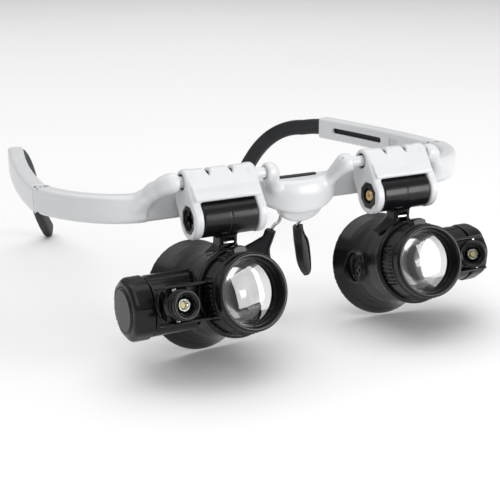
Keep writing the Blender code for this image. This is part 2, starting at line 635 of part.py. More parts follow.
def hook():
    """The bent rubber hook, from just behind the sleeve to its round tip."""
    middle, _ = sleeve_end()
    place = Vector(middle)
    path, sideways, sections = [], [], []
    line = hook_line()
    previous = 0.0
    for i, (run, z) in enumerate(line):
        angle = heading(0.5 * (run + previous))
        place += Vector((-math.sin(angle), math.cos(angle), 0)) * (run - previous)
        previous = run
        path.append(Vector((place.x, place.y, z)))
        sideways.append((math.cos(heading(run)), math.sin(heading(run)), 0))
        left = (len(line) - 1 - i) / 3.0
        size = 1.0 if left >= 1 else 0.35 + 0.65 * math.sqrt(1 - (1 - left) ** 2)
        half = 0.5 * HOOK_HIGH * size
        sections.append([(u - 0.5 * HOOK_THICK * size, v)
                         for u, v in rounded(HOOK_THICK * size, -half, half, 1.4 * size)])
    return sweep(path, sections, sideways)


def build_hook(extend, side):
    _, back = sleeve_end()
    body = hook()
    bmesh.ops.translate(body, vec=back * GAP, verts=body.verts)
    stem = stem_box(STEM_THICK, STEM_LOW, STEM_HIGH, -STEM_INSIDE, 3.0)
    node("ear_hook", "rubber", body, extend, side, adds=[stem])


def build_side(root, side):
    slide = joint_at("bracket_slide", (33.0, PIVOT_Y, PIVOT_Z), root, side)
    flip = joint_at("bracket_flip", (33.0, PIVOT_Y, PIVOT_Z), slide, side)
    tilt = joint_at("loupe_tilt", (33.0, 0.0, 0.0), flip, side)
    turn = joint_at("lens_turn", LOUPE_AT, tilt, side)
    twist = joint_at("cap_twist", (CAP[1][0], TUBE_Y, TUBE_Z), tilt, side)
    swivel = joint_at("lamp_swivel", LAMP @ Vector((LAMP_X, LAMP_Y, LAMP_Z)), tilt, side)
    fold = joint_at("temple_fold", (*FOLD_AT, 0.0), root, side)
    extend = joint_at("hook_slide", sleeve_end()[0], fold, side)
    build_pivot(root, slide, side)
    build_bracket(flip, side)
    build_axle(flip, side)
    build_tilt_arm(tilt, side)
    build_eyecup(tilt, side)
    build_lens(turn, side)
    build_battery(tilt, twist, side)
    build_lamp(tilt, swivel, side)
    node("temple_screw", "steel", solid(HINGE_SCREW, fold_axis(), 16), root, side)
    build_sleeve(fold, side)
    build_hook(extend, side)


def build():
    for thing in list(bpy.data.objects):
        bpy.data.objects.remove(thing)
    root = joint_at("datum", (0, 0, 0))
    root.empty.location = (0.0, DATUM_Y * MM, DATUM_Z * MM)
    build_frame(root)
    build_nose_rest(root)
    for side in (1, -1):
        build_side(root, side)
    bpy.context.view_layer.update()


build()
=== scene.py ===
"""Looks of the head visor magnifier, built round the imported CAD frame.

Shapes are drawn in millimetres about the datum, the point midway between the two loupe hinge
barrels (+X the wearer's left, +Y backwards, +Z up). Each half is drawn for the +X side and
mirrored. Moulded pieces are distance fields, skinned with a fine mesh; turned pieces are lathed.
"""
import json
import math

import bmesh
import bpy
import numpy as np
from mathutils import Matrix, Vector
from mathutils.geometry import interpolate_bezier


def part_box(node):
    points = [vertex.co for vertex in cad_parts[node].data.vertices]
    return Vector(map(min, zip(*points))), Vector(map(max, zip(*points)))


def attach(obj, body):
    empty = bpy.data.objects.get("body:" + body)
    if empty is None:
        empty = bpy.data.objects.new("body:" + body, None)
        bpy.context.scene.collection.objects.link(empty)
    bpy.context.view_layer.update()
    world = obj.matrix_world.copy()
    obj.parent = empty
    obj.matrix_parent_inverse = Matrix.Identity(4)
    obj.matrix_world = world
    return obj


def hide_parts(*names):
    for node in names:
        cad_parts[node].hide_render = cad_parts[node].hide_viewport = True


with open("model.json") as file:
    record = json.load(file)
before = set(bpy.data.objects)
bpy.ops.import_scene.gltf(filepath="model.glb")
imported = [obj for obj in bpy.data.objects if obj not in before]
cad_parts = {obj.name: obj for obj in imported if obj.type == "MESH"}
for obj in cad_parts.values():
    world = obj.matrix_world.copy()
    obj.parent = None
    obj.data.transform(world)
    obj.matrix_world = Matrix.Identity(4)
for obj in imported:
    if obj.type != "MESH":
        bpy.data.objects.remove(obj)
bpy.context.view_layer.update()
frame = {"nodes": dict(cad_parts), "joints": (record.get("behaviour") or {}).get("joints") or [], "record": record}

MM = 0.001
JOINTS = {joint["name"]: joint for joint in frame["joints"]}
DATUM = Vector((0.0, *JOINTS["left_loupe_tilt"]["pos_m"][1:]))
SIDES = {1: "left", -1: "right"}
RUN = 0.12                     # clearance round turning and sliding pieces
SHARP = math.radians(40)       # faces of a turned piece that meet at more than this get a crisp edge


def spot_of(joint):
    """A left joint's place in millimetres about the datum."""
    return (Vector(JOINTS[f"left_{joint}"]["pos_m"]) - DATUM) / MM


def axis_of(joint):
    return Vector(JOINTS[f"left_{joint}"]["axis"]).normalized()


def place_along(point, back):
    """A frame at a point whose +Y is back and whose +X stays level."""
    across = Vector((back.y, -back.x, 0)).normalized()
    up = across.cross(back)
    return Matrix.Translation(point) @ Matrix((across, back, up)).transposed().to_4x4()


PIVOT = spot_of("bracket_flip")
LOUPE = place_along(spot_of("lens_turn"), axis_of("lens_turn"))
FOLD = spot_of("temple_fold")
LAMP_UP = axis_of("lamp_swivel")
LAMP_BACK = LAMP_UP.cross(Vector((1, 0, 0)))
TUBE_AT = spot_of("cap_twist")
LAMP_SPOT = spot_of("lamp_swivel")
LAMP_TURNED = {1: 42.0, -1: 6.0}                     # how far each lamp is turned inwards at rest
TUBE = Matrix.Translation((0, TUBE_AT.y, TUBE_AT.z)) @ Matrix(
    ((1, 0, 0), LAMP_BACK, LAMP_UP)).transposed().to_4x4()
ALONG_X = Matrix.Rotation(math.radians(-90), 4, "Z")


def moved(x=0.0, y=0.0, z=0.0):
    return Matrix.Translation((x, y, z))


# ---------------------------------------------------------------- distance fields
def smax(a, b, blend):
    """Greater of two fields, with a rounded corner."""
    overlap = np.maximum(blend - np.abs(a - b), 0) / blend
    return np.maximum(a, b) + overlap * overlap * blend * 0.25


def smin(a, b, blend):
    return -smax(-a, -b, blend)


def into(place, points):
    """Points in a place's own frame."""
    matrix = np.array(place.inverted())
    return points @ matrix[:3, :3].T + matrix[:3, 3]


def box_field(points, low, high, radius, place=None):
    local = into(place, points) if place else points
    middle = (np.array(low, float) + high) / 2
    half = (np.array(high, float) - low) / 2 - radius
    outside = np.abs(local - middle) - half
    return (np.linalg.norm(np.maximum(outside, 0), axis=1)
            + np.minimum(outside.max(axis=1), 0) - radius)


def rod_field(points, place, start, end, radius, edge=0.3):
    """A cylinder along a place's +Y with rounded edges."""
    local = into(place, points)
    side = np.hypot(local[:, 0], local[:, 2]) - radius
    ends = np.abs(local[:, 1] - (start + end) / 2) - (end - start) / 2
    return smax(side, ends, edge)


def limb_field(points, spots, blend):
    """Round limbs from spot to spot, each given as (x, y, z, radius)."""
    result = None
    for (*a, ra), (*b, rb) in zip(spots[:-1], spots[1:]):
        a, b = np.array(a), np.array(b)
        along = b - a
        part = np.clip((points - a) @ along / (along @ along), 0, 1)
        gap = np.linalg.norm(points - a - part[:, None] * along, axis=1) - (ra + (rb - ra) * part)
        result = gap if result is None else smin(result, gap, blend)
    return result


def outline_field(across, up, outline):
    """Signed distance in a plane to a closed outline."""
    result = np.full(len(across), 1e9)
    inside = np.zeros(len(across), bool)
    for (ax, ay), (bx, by) in zip(outline, outline[1:] + outline[:1]):
        ex, ey = bx - ax, by - ay
        wx, wy = across - ax, up - ay
        part = np.clip((wx * ex + wy * ey) / max(ex * ex + ey * ey, 1e-12), 0, 1)
        result = np.minimum(result, np.hypot(wx - ex * part, wy - ey * part))
        crosses = ((ay > up) != (by > up)) & (across < ax + (up - ay) * ex / (ey if ey else 1e-12))
        inside ^= crosses
    return np.where(inside, -result, result)


def ring_field(points, place, outline):
    """A solid turned about a place's +Y from an outline of (depth, radius)."""
    local = into(place, points)
    return outline_field(local[:, 1], np.hypot(local[:, 0], local[:, 2]), outline)


def track_field(points, track, thick, low, high, radius, drop=0.0):
    """A bar of rounded section along a level track; drop lowers its far end."""
    track = np.array(track)[:, :2]
    best = np.full(len(points), 1e9)
    share = np.zeros(len(points))
    for i in range(len(track) - 1):
        along = track[i + 1] - track[i]
        offset = points[:, :2] - track[i]
        part = np.clip(offset @ along / (along @ along), 0, 1)
        gap = np.linalg.norm(offset - part[:, None] * along, axis=1)
        closer = gap < best
        best = np.where(closer, gap, best)
        share = np.where(closer, (i + part) / (len(track) - 1), share)
    sideways = best - thick / 2 + radius
    upright = np.abs(points[:, 2] + drop * share - (low + high) / 2) - (high - low) / 2 + radius
    corner = np.hypot(np.maximum(sideways, 0), np.maximum(upright, 0))
    return corner + np.minimum(np.maximum(sideways, upright), 0) - radius


# ---------------------------------------------------------------- meshes
def relax(verts, quads):
    """Move each vertex to the mean of its faces' middles."""
    middles = verts[quads].mean(axis=1)
    counts = np.maximum(np.bincount(quads.ravel(), minlength=len(verts)), 1)
    spread = np.repeat(middles, 4, axis=0)
    sums = [np.bincount(quads.ravel(), spread[:, i], len(verts)) for i in range(3)]
    return np.stack(sums, 1) / counts[:, None]


def settle(field, verts, step):
    """Move vertices onto the field's zero level."""
    value = field(verts)
    nudge = 0.02
    slope = np.stack([(field(verts + nudge * axis) - value) / nudge for axis in np.eye(3)], 1)
    size = np.maximum((slope * slope).sum(axis=1), 0.2)
    move = np.clip(value / size, -step, step)
    return verts - slope * move[:, None]


def skin(field, low, high, step, passes=2):
    """Quads round the zero level of a distance field, by surface nets."""
    low = np.array(low, float)
    counts = np.ceil((np.array(high) - low) / step).astype(int) + 1
    axes = [low[i] + step * np.arange(counts[i]) for i in range(3)]
    grid = np.stack(np.meshgrid(*axes, indexing="ij"), -1).reshape(-1, 3)
    value = np.concatenate([field(part) for part in np.array_split(grid, 12)]).reshape(counts)
    inside = value < 0
    corners = np.array([(i, j, k) for i in (0, 1) for j in (0, 1) for k in (0, 1)])
    votes = sum(inside[i:i + counts[0] - 1, j:j + counts[1] - 1, k:k + counts[2] - 1].astype(int)
                for i, j, k in corners)
    cells = np.argwhere((votes > 0) & (votes < 8))
    number = np.full(counts - 1, -1)
    number[tuple(cells.T)] = np.arange(len(cells))
    total, hits = np.zeros((len(cells), 3)), np.zeros(len(cells))
    for corner in corners:
        for axis in np.eye(3, dtype=int)[corner == 0]:
            near = value[tuple((cells + corner).T)]
            far = value[tuple((cells + corner + axis).T)]
            cross = (near < 0) != (far < 0)
            part = np.where(cross, near / np.where(cross, near - far, 1), 0)
            total += cross[:, None] * (corner + part[:, None] * axis)
            hits += cross
    verts = low + step * (cells + total / hits[:, None])
    quads = np.concatenate([net_faces(inside, number, axis) for axis in range(3)])
    for _ in range(passes):
        verts = settle(field, relax(verts, quads), step)
    return settle(field, verts, step), quads


def around(place, low, high):
    """The level box round a box drawn in a place's own frame."""
    corners = [place @ Vector((x, y, z)) for x in (low[0], high[0]) for y in (low[1], high[1])
               for z in (low[2], high[2])]
    return [tuple(pick(corner[i] for corner in corners) for i in range(3)) for pick in (min, max)]


def net_faces(inside, number, axis):
    """One quad round each grid edge along an axis that crosses the surface."""
    near = tuple(slice(0, -1) if i == axis else slice(None) for i in range(3))
    far = tuple(slice(1, None) if i == axis else slice(None) for i in range(3))
    edges = np.argwhere(inside[near] != inside[far])
    u, v = (axis + 1) % 3, (axis + 2) % 3
    corners = []
    for du, dv in ((-1, -1), (0, -1), (0, 0), (-1, 0)):
        cell = edges.copy()
        cell[:, u] += du
        cell[:, v] += dv
        corners.append(number[tuple(cell.T)])
    quads = np.stack(corners, 1)
    outwards = inside[tuple(edges.T)]
    quads[~outwards] = quads[~outwards][:, ::-1]
    return quads


def softened(outline, radius, closed=True, steps=3):
    """An outline with its corners rounded."""
    result = []
    count = len(outline)
    for i, point in enumerate(outline):
        if not closed and i in (0, count - 1):
            result.append(tuple(point))
            continue
        here = Vector(point)
        before, after = Vector(outline[i - 1]), Vector(outline[(i + 1) % count])
        reach = min(radius, 0.45 * (before - here).length, 0.45 * (after - here).length)
        start = here + (before - here).normalized() * reach
        end = here + (after - here).normalized() * reach
        for k in range(steps + 1):
            t = k / steps
            result.append(tuple(start * (1 - t) ** 2 + here * 2 * t * (1 - t) + end * t * t))
    return result


def lathed(profile, place, sides=96, closed=False, ripple=None):
    """Turn a profile of (depth, radius) about a place's +Y.

    ripple(depth, angle, radius) gives what is added to a radius.
    """
    verts, faces = [], []
    count = len(profile)
    for i in range(sides):
        turn = 2 * math.pi * i / sides
        for depth, radius in profile:
            r = radius + (ripple(depth, turn, radius) if ripple else 0)
            verts.append(place @ Vector((r * math.cos(turn), depth, r * math.sin(turn))))
    for i in range(sides):
        for j in range(count if closed else count - 1):
            k = (j + 1) % count
            after = (i + 1) % sides
            faces.append((i * count + j, i * count + k, after * count + k, after * count + j))
    return [tuple(v) for v in verts], faces


def swept(path, sections, sideways):
    """Carry sections of (across, up) along a path, with flat ends."""
    verts, faces = [], []
    size = len(sections[0])
    for i, point in enumerate(path):
        ahead = (path[min(i + 1, len(path) - 1)] - path[max(i - 1, 0)]).normalized()
        across = Vector(sideways[i] if isinstance(sideways, list) else sideways)
        across = (across - ahead * across.dot(ahead)).normalized()
        up = ahead.cross(across)
        verts += [tuple(point + across * u + up * v) for u, v in sections[i]]
    for i in range(len(path) - 1):
        for j in range(size):
            k = (j + 1) % size
            faces.append((i * size + j, i * size + k, (i + 1) * size + k, (i + 1) * size + j))
    faces.append(tuple(range(size)))
    faces.append(tuple(range((len(path) - 1) * size, len(path) * size)))
    return verts, faces


def disc_section(radius, sides=20):
    return [(radius * math.cos(2 * math.pi * i / sides), radius * math.sin(2 * math.pi * i / sides))
            for i in range(sides)]


def add_piece(name, body, shape, material, side=0, node=None):
    """Make a piece from (verts, faces) drawn for the +X side, and tie it to the frame."""
    verts, faces = shape
    skinned = isinstance(faces, np.ndarray)
    points = np.array(verts, float)
    faces = faces.tolist() if skinned else faces
    if side < 0:
        points[:, 0] *= -1
        faces = [tuple(reversed(face)) for face in faces]
    points = points * MM + np.array(DATUM)
    mesh = bpy.data.meshes.new(name)
    mesh.from_pydata(points.tolist(), [], faces)
    if not skinned:
        work = bmesh.new()
        work.from_mesh(mesh)
        bmesh.ops.remove_doubles(work, verts=work.verts, dist=1e-6)
        bmesh.ops.recalc_face_normals(work, faces=work.faces)
        work.to_mesh(mesh)
        work.free()
    mesh.shade_smooth()
    if not skinned:
        mesh.set_sharp_from_angle(angle=SHARP)
    mesh.materials.append(material)
    thing = bpy.data.objects.new(name, mesh)
    bpy.context.collection.objects.link(thing)
    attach(thing, body)
    if node:
        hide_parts(node)
    return thing


# ---------------------------------------------------------------- materials
def new_material(name):
    material = bpy.data.materials.new(name)
    material.use_nodes = True
    tree = material.node_tree
    return material, tree, tree.nodes["Principled BSDF"]


def noise(tree, scale, detail=3.0, stretch=None):
    coords = tree.nodes.new("ShaderNodeTexCoord")
    texture = tree.nodes.new("ShaderNodeTexNoise")
    texture.inputs["Scale"].default_value = scale
    texture.inputs["Detail"].default_value = detail
    source = coords.outputs["Object"]
    if stretch:
        mapping = tree.nodes.new("ShaderNodeMapping")
        mapping.inputs["Scale"].default_value = stretch
        tree.links.new(source, mapping.inputs["Vector"])
        source = mapping.outputs["Vector"]
    tree.links.new(source, texture.inputs["Vector"])
    return texture.outputs["Fac"]


def ranged(tree, value, low, high, start=0.3, end=0.7):
    node = tree.nodes.new("ShaderNodeMapRange")
    node.inputs["From Min"].default_value = start
    node.inputs["From Max"].default_value = end
    node.inputs["To Min"].default_value = low
    node.inputs["To Max"].default_value = high
    tree.links.new(value, node.inputs["Value"])
    return node.outputs["Result"]


def bumped(tree, shader, value, strength, distance):
    node = tree.nodes.new("ShaderNodeBump")
    node.inputs["Strength"].default_value = strength
    node.inputs["Distance"].default_value = distance
    tree.links.new(value, node.inputs["Height"])
    tree.links.new(node.outputs["Normal"], shader.inputs["Normal"])


def two_tone(tree, shader, value, first, second):
    mix = tree.nodes.new("ShaderNodeMix")
    mix.data_type = "RGBA"
    mix.inputs["A"].default_value = (*first, 1)
    mix.inputs["B"].default_value = (*second, 1)
    tree.links.new(value, mix.inputs["Factor"])
    tree.links.new(mix.outputs["Result"], shader.inputs["Base Color"])


def moulded(name, tones, gloss, grain, bump, coat=0.0, specular=0.5):
    """Injection-moulded plastic: faint flow marks in colour, sheen variation and fine grain."""
    material, tree, shader = new_material(name)
    flow = noise(tree, 60.0, 2.0, (1.0, 1.0, 2.5))
    fine = noise(tree, grain, 4.0)
    two_tone(tree, shader, ranged(tree, flow, 0, 1), *tones)
    tree.links.new(ranged(tree, flow, *gloss), shader.inputs["Roughness"])
    bumped(tree, shader, fine, bump, 0.0001)
    shader.inputs["Specular IOR Level"].default_value = specular
    shader.inputs["Coat Weight"].default_value = coat
    shader.inputs["Coat Roughness"].default_value = 0.12
    return material


def metal(name, tones, gloss):
    material, tree, shader = new_material(name)
    brushed = noise(tree, 900.0, 3.0, (1.0, 0.08, 1.0))
    two_tone(tree, shader, ranged(tree, brushed, 0, 1), *tones)
    tree.links.new(ranged(tree, brushed, *gloss), shader.inputs["Roughness"])
    bumped(tree, shader, brushed, 0.1, 0.00005)
    shader.inputs["Metallic"].default_value = 1.0
    return material


def clear(name, tint, ior, smears):
    """Glass or clear resin, with faint smears in its polish."""
    material, tree, shader = new_material(name)
    cloud = noise(tree, 120.0, 2.0)
    tree.links.new(ranged(tree, cloud, *smears), shader.inputs["Roughness"])
    two_tone(tree, shader, ranged(tree, cloud, 0, 1), tint, tuple(0.985 * c for c in tint))
    shader.inputs["Transmission Weight"].default_value = 1.0
    shader.inputs["IOR"].default_value = ior
    return material


WHITE = moulded("white_plastic", ((0.67, 0.68, 0.70), (0.70, 0.71, 0.725)), (0.28, 0.38), 2600.0, 0.06,
                coat=0.1)
BLACK = moulded("black_plastic", ((0.004, 0.004, 0.005), (0.008, 0.008, 0.009)), (0.20, 0.30), 2200.0,
                0.10, specular=0.3)
SATIN = moulded("satin_black_plastic", ((0.006, 0.006, 0.007), (0.012, 0.012, 0.013)), (0.34, 0.44),
                1800.0, 0.18, specular=0.25)
RUBBER = moulded("black_rubber", ((0.014, 0.015, 0.018), (0.024, 0.025, 0.029)), (0.48, 0.62), 1500.0,
                 0.30, specular=0.3)
STEEL = metal("bright_steel", ((0.62, 0.62, 0.64), (0.50, 0.50, 0.52)), (0.18, 0.32))
BRASS = metal("brass", ((0.80, 0.58, 0.30), (0.62, 0.42, 0.20)), (0.22, 0.36))
GLASS = clear("lens_glass", (0.97, 0.985, 0.985), 1.70, (0.0, 0.015))
RESIN = clear("lamp_resin", (0.98, 0.98, 0.97), 1.54, (0.02, 0.06))
FINISHES = {"white_plastic": WHITE, "black_plastic": BLACK, "rubber": RUBBER, "steel": STEEL,
            "brass": BRASS, "lens_glass": GLASS, "lamp_epoxy": RESIN}
SLOTS = {finish.name: slot for slot, finish in FINISHES.items()}
SLOTS |= {"satin_black_plastic": "black_plastic", "phosphor": "lamp_epoxy"}


def finish_frame_nodes():
    """Every CAD node gets the finish of its slot, including those that nothing replaces."""
    slots = {part["node"]: part["material_slot"] for part in frame["record"]["subparts"]}
    for name, thing in frame["nodes"].items():
        thing.data.materials.clear()
        thing.data.materials.append(FINISHES[slots[name]])


# ---------------------------------------------------------------- frame
BAND_LOW, BAND_HIGH, BAND_THICK = -2.0, 7.0, 5.5
HINGE_DROP = 0.6
WRAP = [(55.0, 9.6), (67.5, 9.6), (79.8, 25.5), (82.1, 39.3)]
INNER_HORN = [(9.0, 9.4, 3.4, 2.0), (10.6, 8.6, 5.2, 2.0), (12.2, 6.9, 7.8, 2.1),
              (13.4, 5.5, 9.8, 2.4), (14.4, 4.8, 11.0, 2.7), (15.5, 4.7, 11.0, 2.8)]
OUTER_HORN = [(57.5, 11.8, 3.6, 2.2), (55.4, 10.8, 5.6, 2.4), (53.0, 8.6, 8.2, 2.5),
              (50.6, 5.8, 10.3, 2.6), (48.8, 4.8, 11.0, 2.8), (47.4, 4.7, 11.0, 2.8)]
HORN_ENDS = (16.4, 46.4)
PIN_R = 1.8
PIN_SPAN = (13.2, 48.6)
KNUCKLE = 2.3
TONGUE = (0.5, 2.9)
TAB_LOW, TAB_HIGH = -2.3, 6.1


def curve_points(control, count):
    padded = [Vector((*point, 0.0)) for point in control]
    return interpolate_bezier(*padded, count)


def inner_track(control, thick, count=24, extend=0.0):
    """The middle line of a bar whose outer face follows a curve."""
    spots = curve_points(control, count)
    track = []
    for i, point in enumerate(spots):
        along = (spots[min(i + 1, count - 1)] - spots[max(i - 1, 0)]).normalized()
        track.append((point.x - along.y * thick / 2, point.y + along.x * thick / 2))
    if extend:
        first, last = Vector(track[0]), Vector(track[-1])
        track.insert(0, tuple(first + (first - Vector(track[1])).normalized() * extend))
        track.append(tuple(last + (last - Vector(track[-2])).normalized() * extend))
    return track


WRAP_TRACK = inner_track(WRAP, BAND_THICK, extend=6.0)
HINGE_SCREW = moved(FOLD.x, FOLD.y, 0) @ Matrix.Rotation(math.radians(90), 4, "X")
FRAME_BOX = ((-84.0, 0.0, -10.0), (84.0, 43.5, 16.5))
FRAME_STEP = 0.42                                    # spacing of the net that skins the frame


def bridge_field(points):
    """The bridge: a bowed front face over a lip that is set back."""
    x, y, z = np.abs(points[:, 0]), points[:, 1], points[:, 2]
    reach = np.clip(x / 12.5, 0, 1.2)
    front = 5.0 + 3.6 * reach ** 2.6 + 0.06 * np.maximum(z - 1.0, 0) ** 2
    bottom = -4.6 + 2.7 * reach ** 2.2
    top = 6.2 + 0.3 * reach ** 2
    body = smax(smax(front - y, y - 12.6, 0.8), smax(bottom - z, z - top, 0.5), 1.1)
    body = smax(body, x - 14.5, 1.5)
    droop = np.minimum(z + 3.0, 0) / 5.4
    lip_side = (np.hypot(x / 8.2, droop) - 1) * 5.2
    lip = smax(lip_side, smax(7.4 - y - 0.12 * (z + 3.0), y - 12.0, 1.5), 1.2)
    lip = smax(lip, z - 1.0, 0.5)
    return smin(body, lip, 0.4)


def pin_field(points, start, end, radius):
    return rod_field(points, moved(0, PIVOT.y, PIVOT.z) @ ALONG_X, start, end, radius, 0.1)


def tab_field(points, low, high, reach):
    """A hinge knuckle with a neck."""
    flat = np.hypot(points[:, 0] - FOLD.x, points[:, 1] - FOLD.y) - KNUCKLE
    neck = box_field(points, (FOLD.x - KNUCKLE, min(FOLD.y, FOLD.y + reach), low),
                     (FOLD.x + KNUCKLE, max(FOLD.y, FOLD.y + reach), high), 0.1)
    upright = np.maximum(low - points[:, 2], points[:, 2] - high)
    return np.minimum(smax(flat, upright, 0.2), neck)


def frame_field(points):
    half = points.copy()
    half[:, 0] = np.abs(half[:, 0])
    wall = box_field(half, (8.0, 10.5, BAND_LOW), (58.0, 13.2, BAND_HIGH), 0.9)
    band = track_field(half, WRAP_TRACK, BAND_THICK, BAND_LOW, BAND_HIGH, 1.6, HINGE_DROP)
    band = smax(band, 54.6 - half[:, 0], 0.8)
    body = smin(smin(wall, band, 0.6), bridge_field(half), 0.6)
    inner = limb_field(half, INNER_HORN, 1.6)
    inner = smax(inner, half[:, 0] - HORN_ENDS[0], 1.2)
    outer = limb_field(half, OUTER_HORN, 1.6)
    outer = smax(outer, HORN_ENDS[1] - half[:, 0], 1.2)
    body = smin(smin(body, inner, 1.6), outer, 1.8)
    body = np.maximum(body, -pin_field(half, PIN_SPAN[0] - 0.3, PIN_SPAN[1] + 0.3, PIN_R + 0.12))
    body = smax(body, half[:, 1] - (FOLD.y - 0.3), 0.3)
    hollow = box_field(half, (70.0, FOLD.y - KNUCKLE - 0.6, -9.0),
                       (FOLD.x + KNUCKLE + 0.3, FOLD.y + 9.0, 12.0), 0.1)
    body = np.maximum(body, -hollow)
    body = np.minimum(body, tab_field(half, TAB_LOW, TONGUE[0] - 0.3, -4.5))
    body = np.minimum(body, tab_field(half, TONGUE[1] + 0.3, TAB_HIGH, -4.5))
    body = np.maximum(body, -rod_field(half, HINGE_SCREW, -9.0, 9.0, 1.05, 0.1))
    return np.maximum(body, -rod_field(half, HINGE_SCREW, 4.7, 9.0, 1.65, 0.1))


def build_frame():
    shape = skin(frame_field, *FRAME_BOX, FRAME_STEP)
    add_piece("front_frame_moulding", "frame", shape, WHITE, node="front_frame")


# ---------------------------------------------------------------- nose rest
PAD = [(5.2, 19.8, -13.6, 3.4, 3.2), (6.0, 20.6, -16.6, 3.8, 3.4), (7.4, 22.2, -19.6, 6.6, 3.4),
       (9.0, 23.2, -23.6, 12.0, 3.4), (10.2, 23.6, -27.6, 11.4, 3.2), (11.0, 23.4, -31.0, 7.6, 2.8),
       (11.3, 23.0, -33.0, 3.4, 2.0)]
PAD_YAW = math.radians(48)
PAD_WAY = Vector((math.cos(PAD_YAW), math.sin(PAD_YAW), 0))
WIRE_R = 0.6
WIRE = [(4.6, 14.3, -3.2), (4.6, 14.3, -7.0), (4.7, 15.6, -9.6), (4.9, 18.4, -11.6),
        (5.3, 19.9, -14.0), (5.9, 20.1, -17.2)]


def smooth_path(points, per=6):
    """A Catmull-Rom curve through points of any size."""
    spots = [Vector(point) for point in points]
    ends = [spots[0] * 2 - spots[1]] + spots + [spots[-1] * 2 - spots[-2]]
    path = []
    for a, b, c, d in zip(ends, ends[1:], ends[2:], ends[3:]):
        for i in range(per):
            t = i / per
            path.append(0.5 * (2 * b + (c - a) * t + (2 * a - 5 * b + 4 * c - d) * t * t
                               + (3 * b - a - 3 * c + d) * t ** 3))
    path.append(spots[-1])
    return path


def pad_shape():
    """A leaf of silicone: rounded sections, fuller in the middle, closing to a soft tip."""
    rows = smooth_path(PAD, 7)
    path = [Vector(row[:3]) for row in rows]
    sections = []
    for row in rows:
        width, thick = row[3], row[4]
        ring = []
        for i in range(28):
            turn = 2 * math.pi * i / 28
            c, s = math.cos(turn), math.sin(turn)
            flat = 1.0 if abs(s) < 1e-6 else abs(s) ** 0.75
            ring.append((0.5 * width * c, 0.5 * thick * math.copysign(flat, s)))
        sections.append(ring)
    first, last = path[0], path[-1]
    path = [first - (path[1] - first) * 0.4] + path + [last + (last - path[-2]) * 0.6]
    sections = [scaled(sections[0], 0.6)] + sections + [scaled(sections[-1], 0.45)]
    return swept(path, sections, tuple(PAD_WAY))


def scaled(section, factor):
    return [(u * factor, v * factor) for u, v in section]


def build_nose_rest():
    shape = skin(carrier_field, (-11.0, 11.5, -7.0), (11.0, 17.5, 8.0), 0.3)
    add_piece("nose_pad_carrier_moulding", "frame", shape, SATIN, node="nose_pad_carrier")
    for side, word in SIDES.items():
        add_piece(f"{word}_nose_pad_leaf", "frame", pad_shape(), RUBBER, side, f"{word}_nose_pad")
        path = smooth_path(WIRE, 6)
        add_piece(f"{word}_nose_wire", "frame", swept(path, [disc_section(WIRE_R, 14)] * len(path),
                  (1, 0, 0)), STEEL, side, f"{word}_nose_pad_wire")


def carrier_field(points):
    low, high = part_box("nose_pad_carrier")
    low, high = (low - DATUM) / MM, (high - DATUM) / MM
    x, z = np.abs(points[:, 0]), points[:, 2]
    slab = box_field(points, low, high, 0.7)
    waist = 0.8 * (x - high.x) - (z - low.z) + 3.4
    return smax(slab, waist * 0.75, 0.8)


# ---------------------------------------------------------------- lens bracket
BRACKET = (20.6, 45.5)
CHEEK = 3.0
BARREL_R = 6.0
BUSH_R = 2.5
OCTAGON_R = 4.5
NOTCHES = (29.0, 37.1)                               # places of the two cuts along the bracket's top


def capsule_outline(y, z, lobes):
    """Distance in the side view to discs joined in a ring; lobes are (y, z, radius)."""
    result = None
    for (ay, az, ar), (by, bz, br) in zip(lobes, lobes[1:] + lobes[:1]):
        ey, ez = by - ay, bz - az
        part = np.clip(((y - ay) * ey + (z - az) * ez) / (ey * ey + ez * ez), 0, 1)
        gap = np.hypot(y - ay - ey * part, z - az - ez * part) - (ar + (br - ar) * part)
        result = gap if result is None else np.minimum(result, gap)
    return result


def octagon_field(points, radius, start, end):
    y, z = np.abs(points[:, 1]), np.abs(points[:, 2])
    inner = radius * math.cos(math.pi / 8)
    flat = np.maximum(np.maximum(y, z), (y + z) * math.sqrt(0.5)) - inner
    return np.maximum(flat, np.maximum(start - points[:, 0], points[:, 0] - end))


def bracket_field(points):
    x, y, z = points[:, 0], points[:, 1], points[:, 2]
    inner, outer = BRACKET
    middle = (inner + outer) / 2
    lobes = [(PIVOT.y, PIVOT.z, 3.8), (5.4, 5.4, 4.1), (0.0, 0.0, 6.3)]
    side_view = capsule_outline(y, z, lobes)
    apron_view = capsule_outline(y, z, [(PIVOT.y, PIVOT.z, 3.65), (-3.0, 6.9, 0.9)])
    filled = capsule_outline(y, z, [(PIVOT.y, PIVOT.z, 3.65), (0.5, 8.4, 2.6)])
    apron = smin(apron_view, filled, 0.4)
    apron = smax(apron, BARREL_R + 0.4 - np.hypot(y, z), 0.4)
    reach = np.abs(x - middle)
    half = (outer - inner) / 2
    cheeks = smax(side_view, np.maximum(reach - half, half - CHEEK - reach), 0.9)
    body = smin(cheeks, smax(apron, reach - half + 1.0, 0.5), 0.8)
    body = np.maximum(body, -pin_field(points, inner - 2, outer + 2, BUSH_R + RUN))
    eyes = octagon_field(points, OCTAGON_R + 0.22, inner - 2, outer + 2)
    body = np.maximum(body, -eyes)
    top = PIVOT.z + 3.8
    for notch in NOTCHES:
        wedge = np.abs(x - notch) * 1.9 - (z - top + 2.2)
        body = smax(body, -wedge * 0.5, 0.25)
    return body


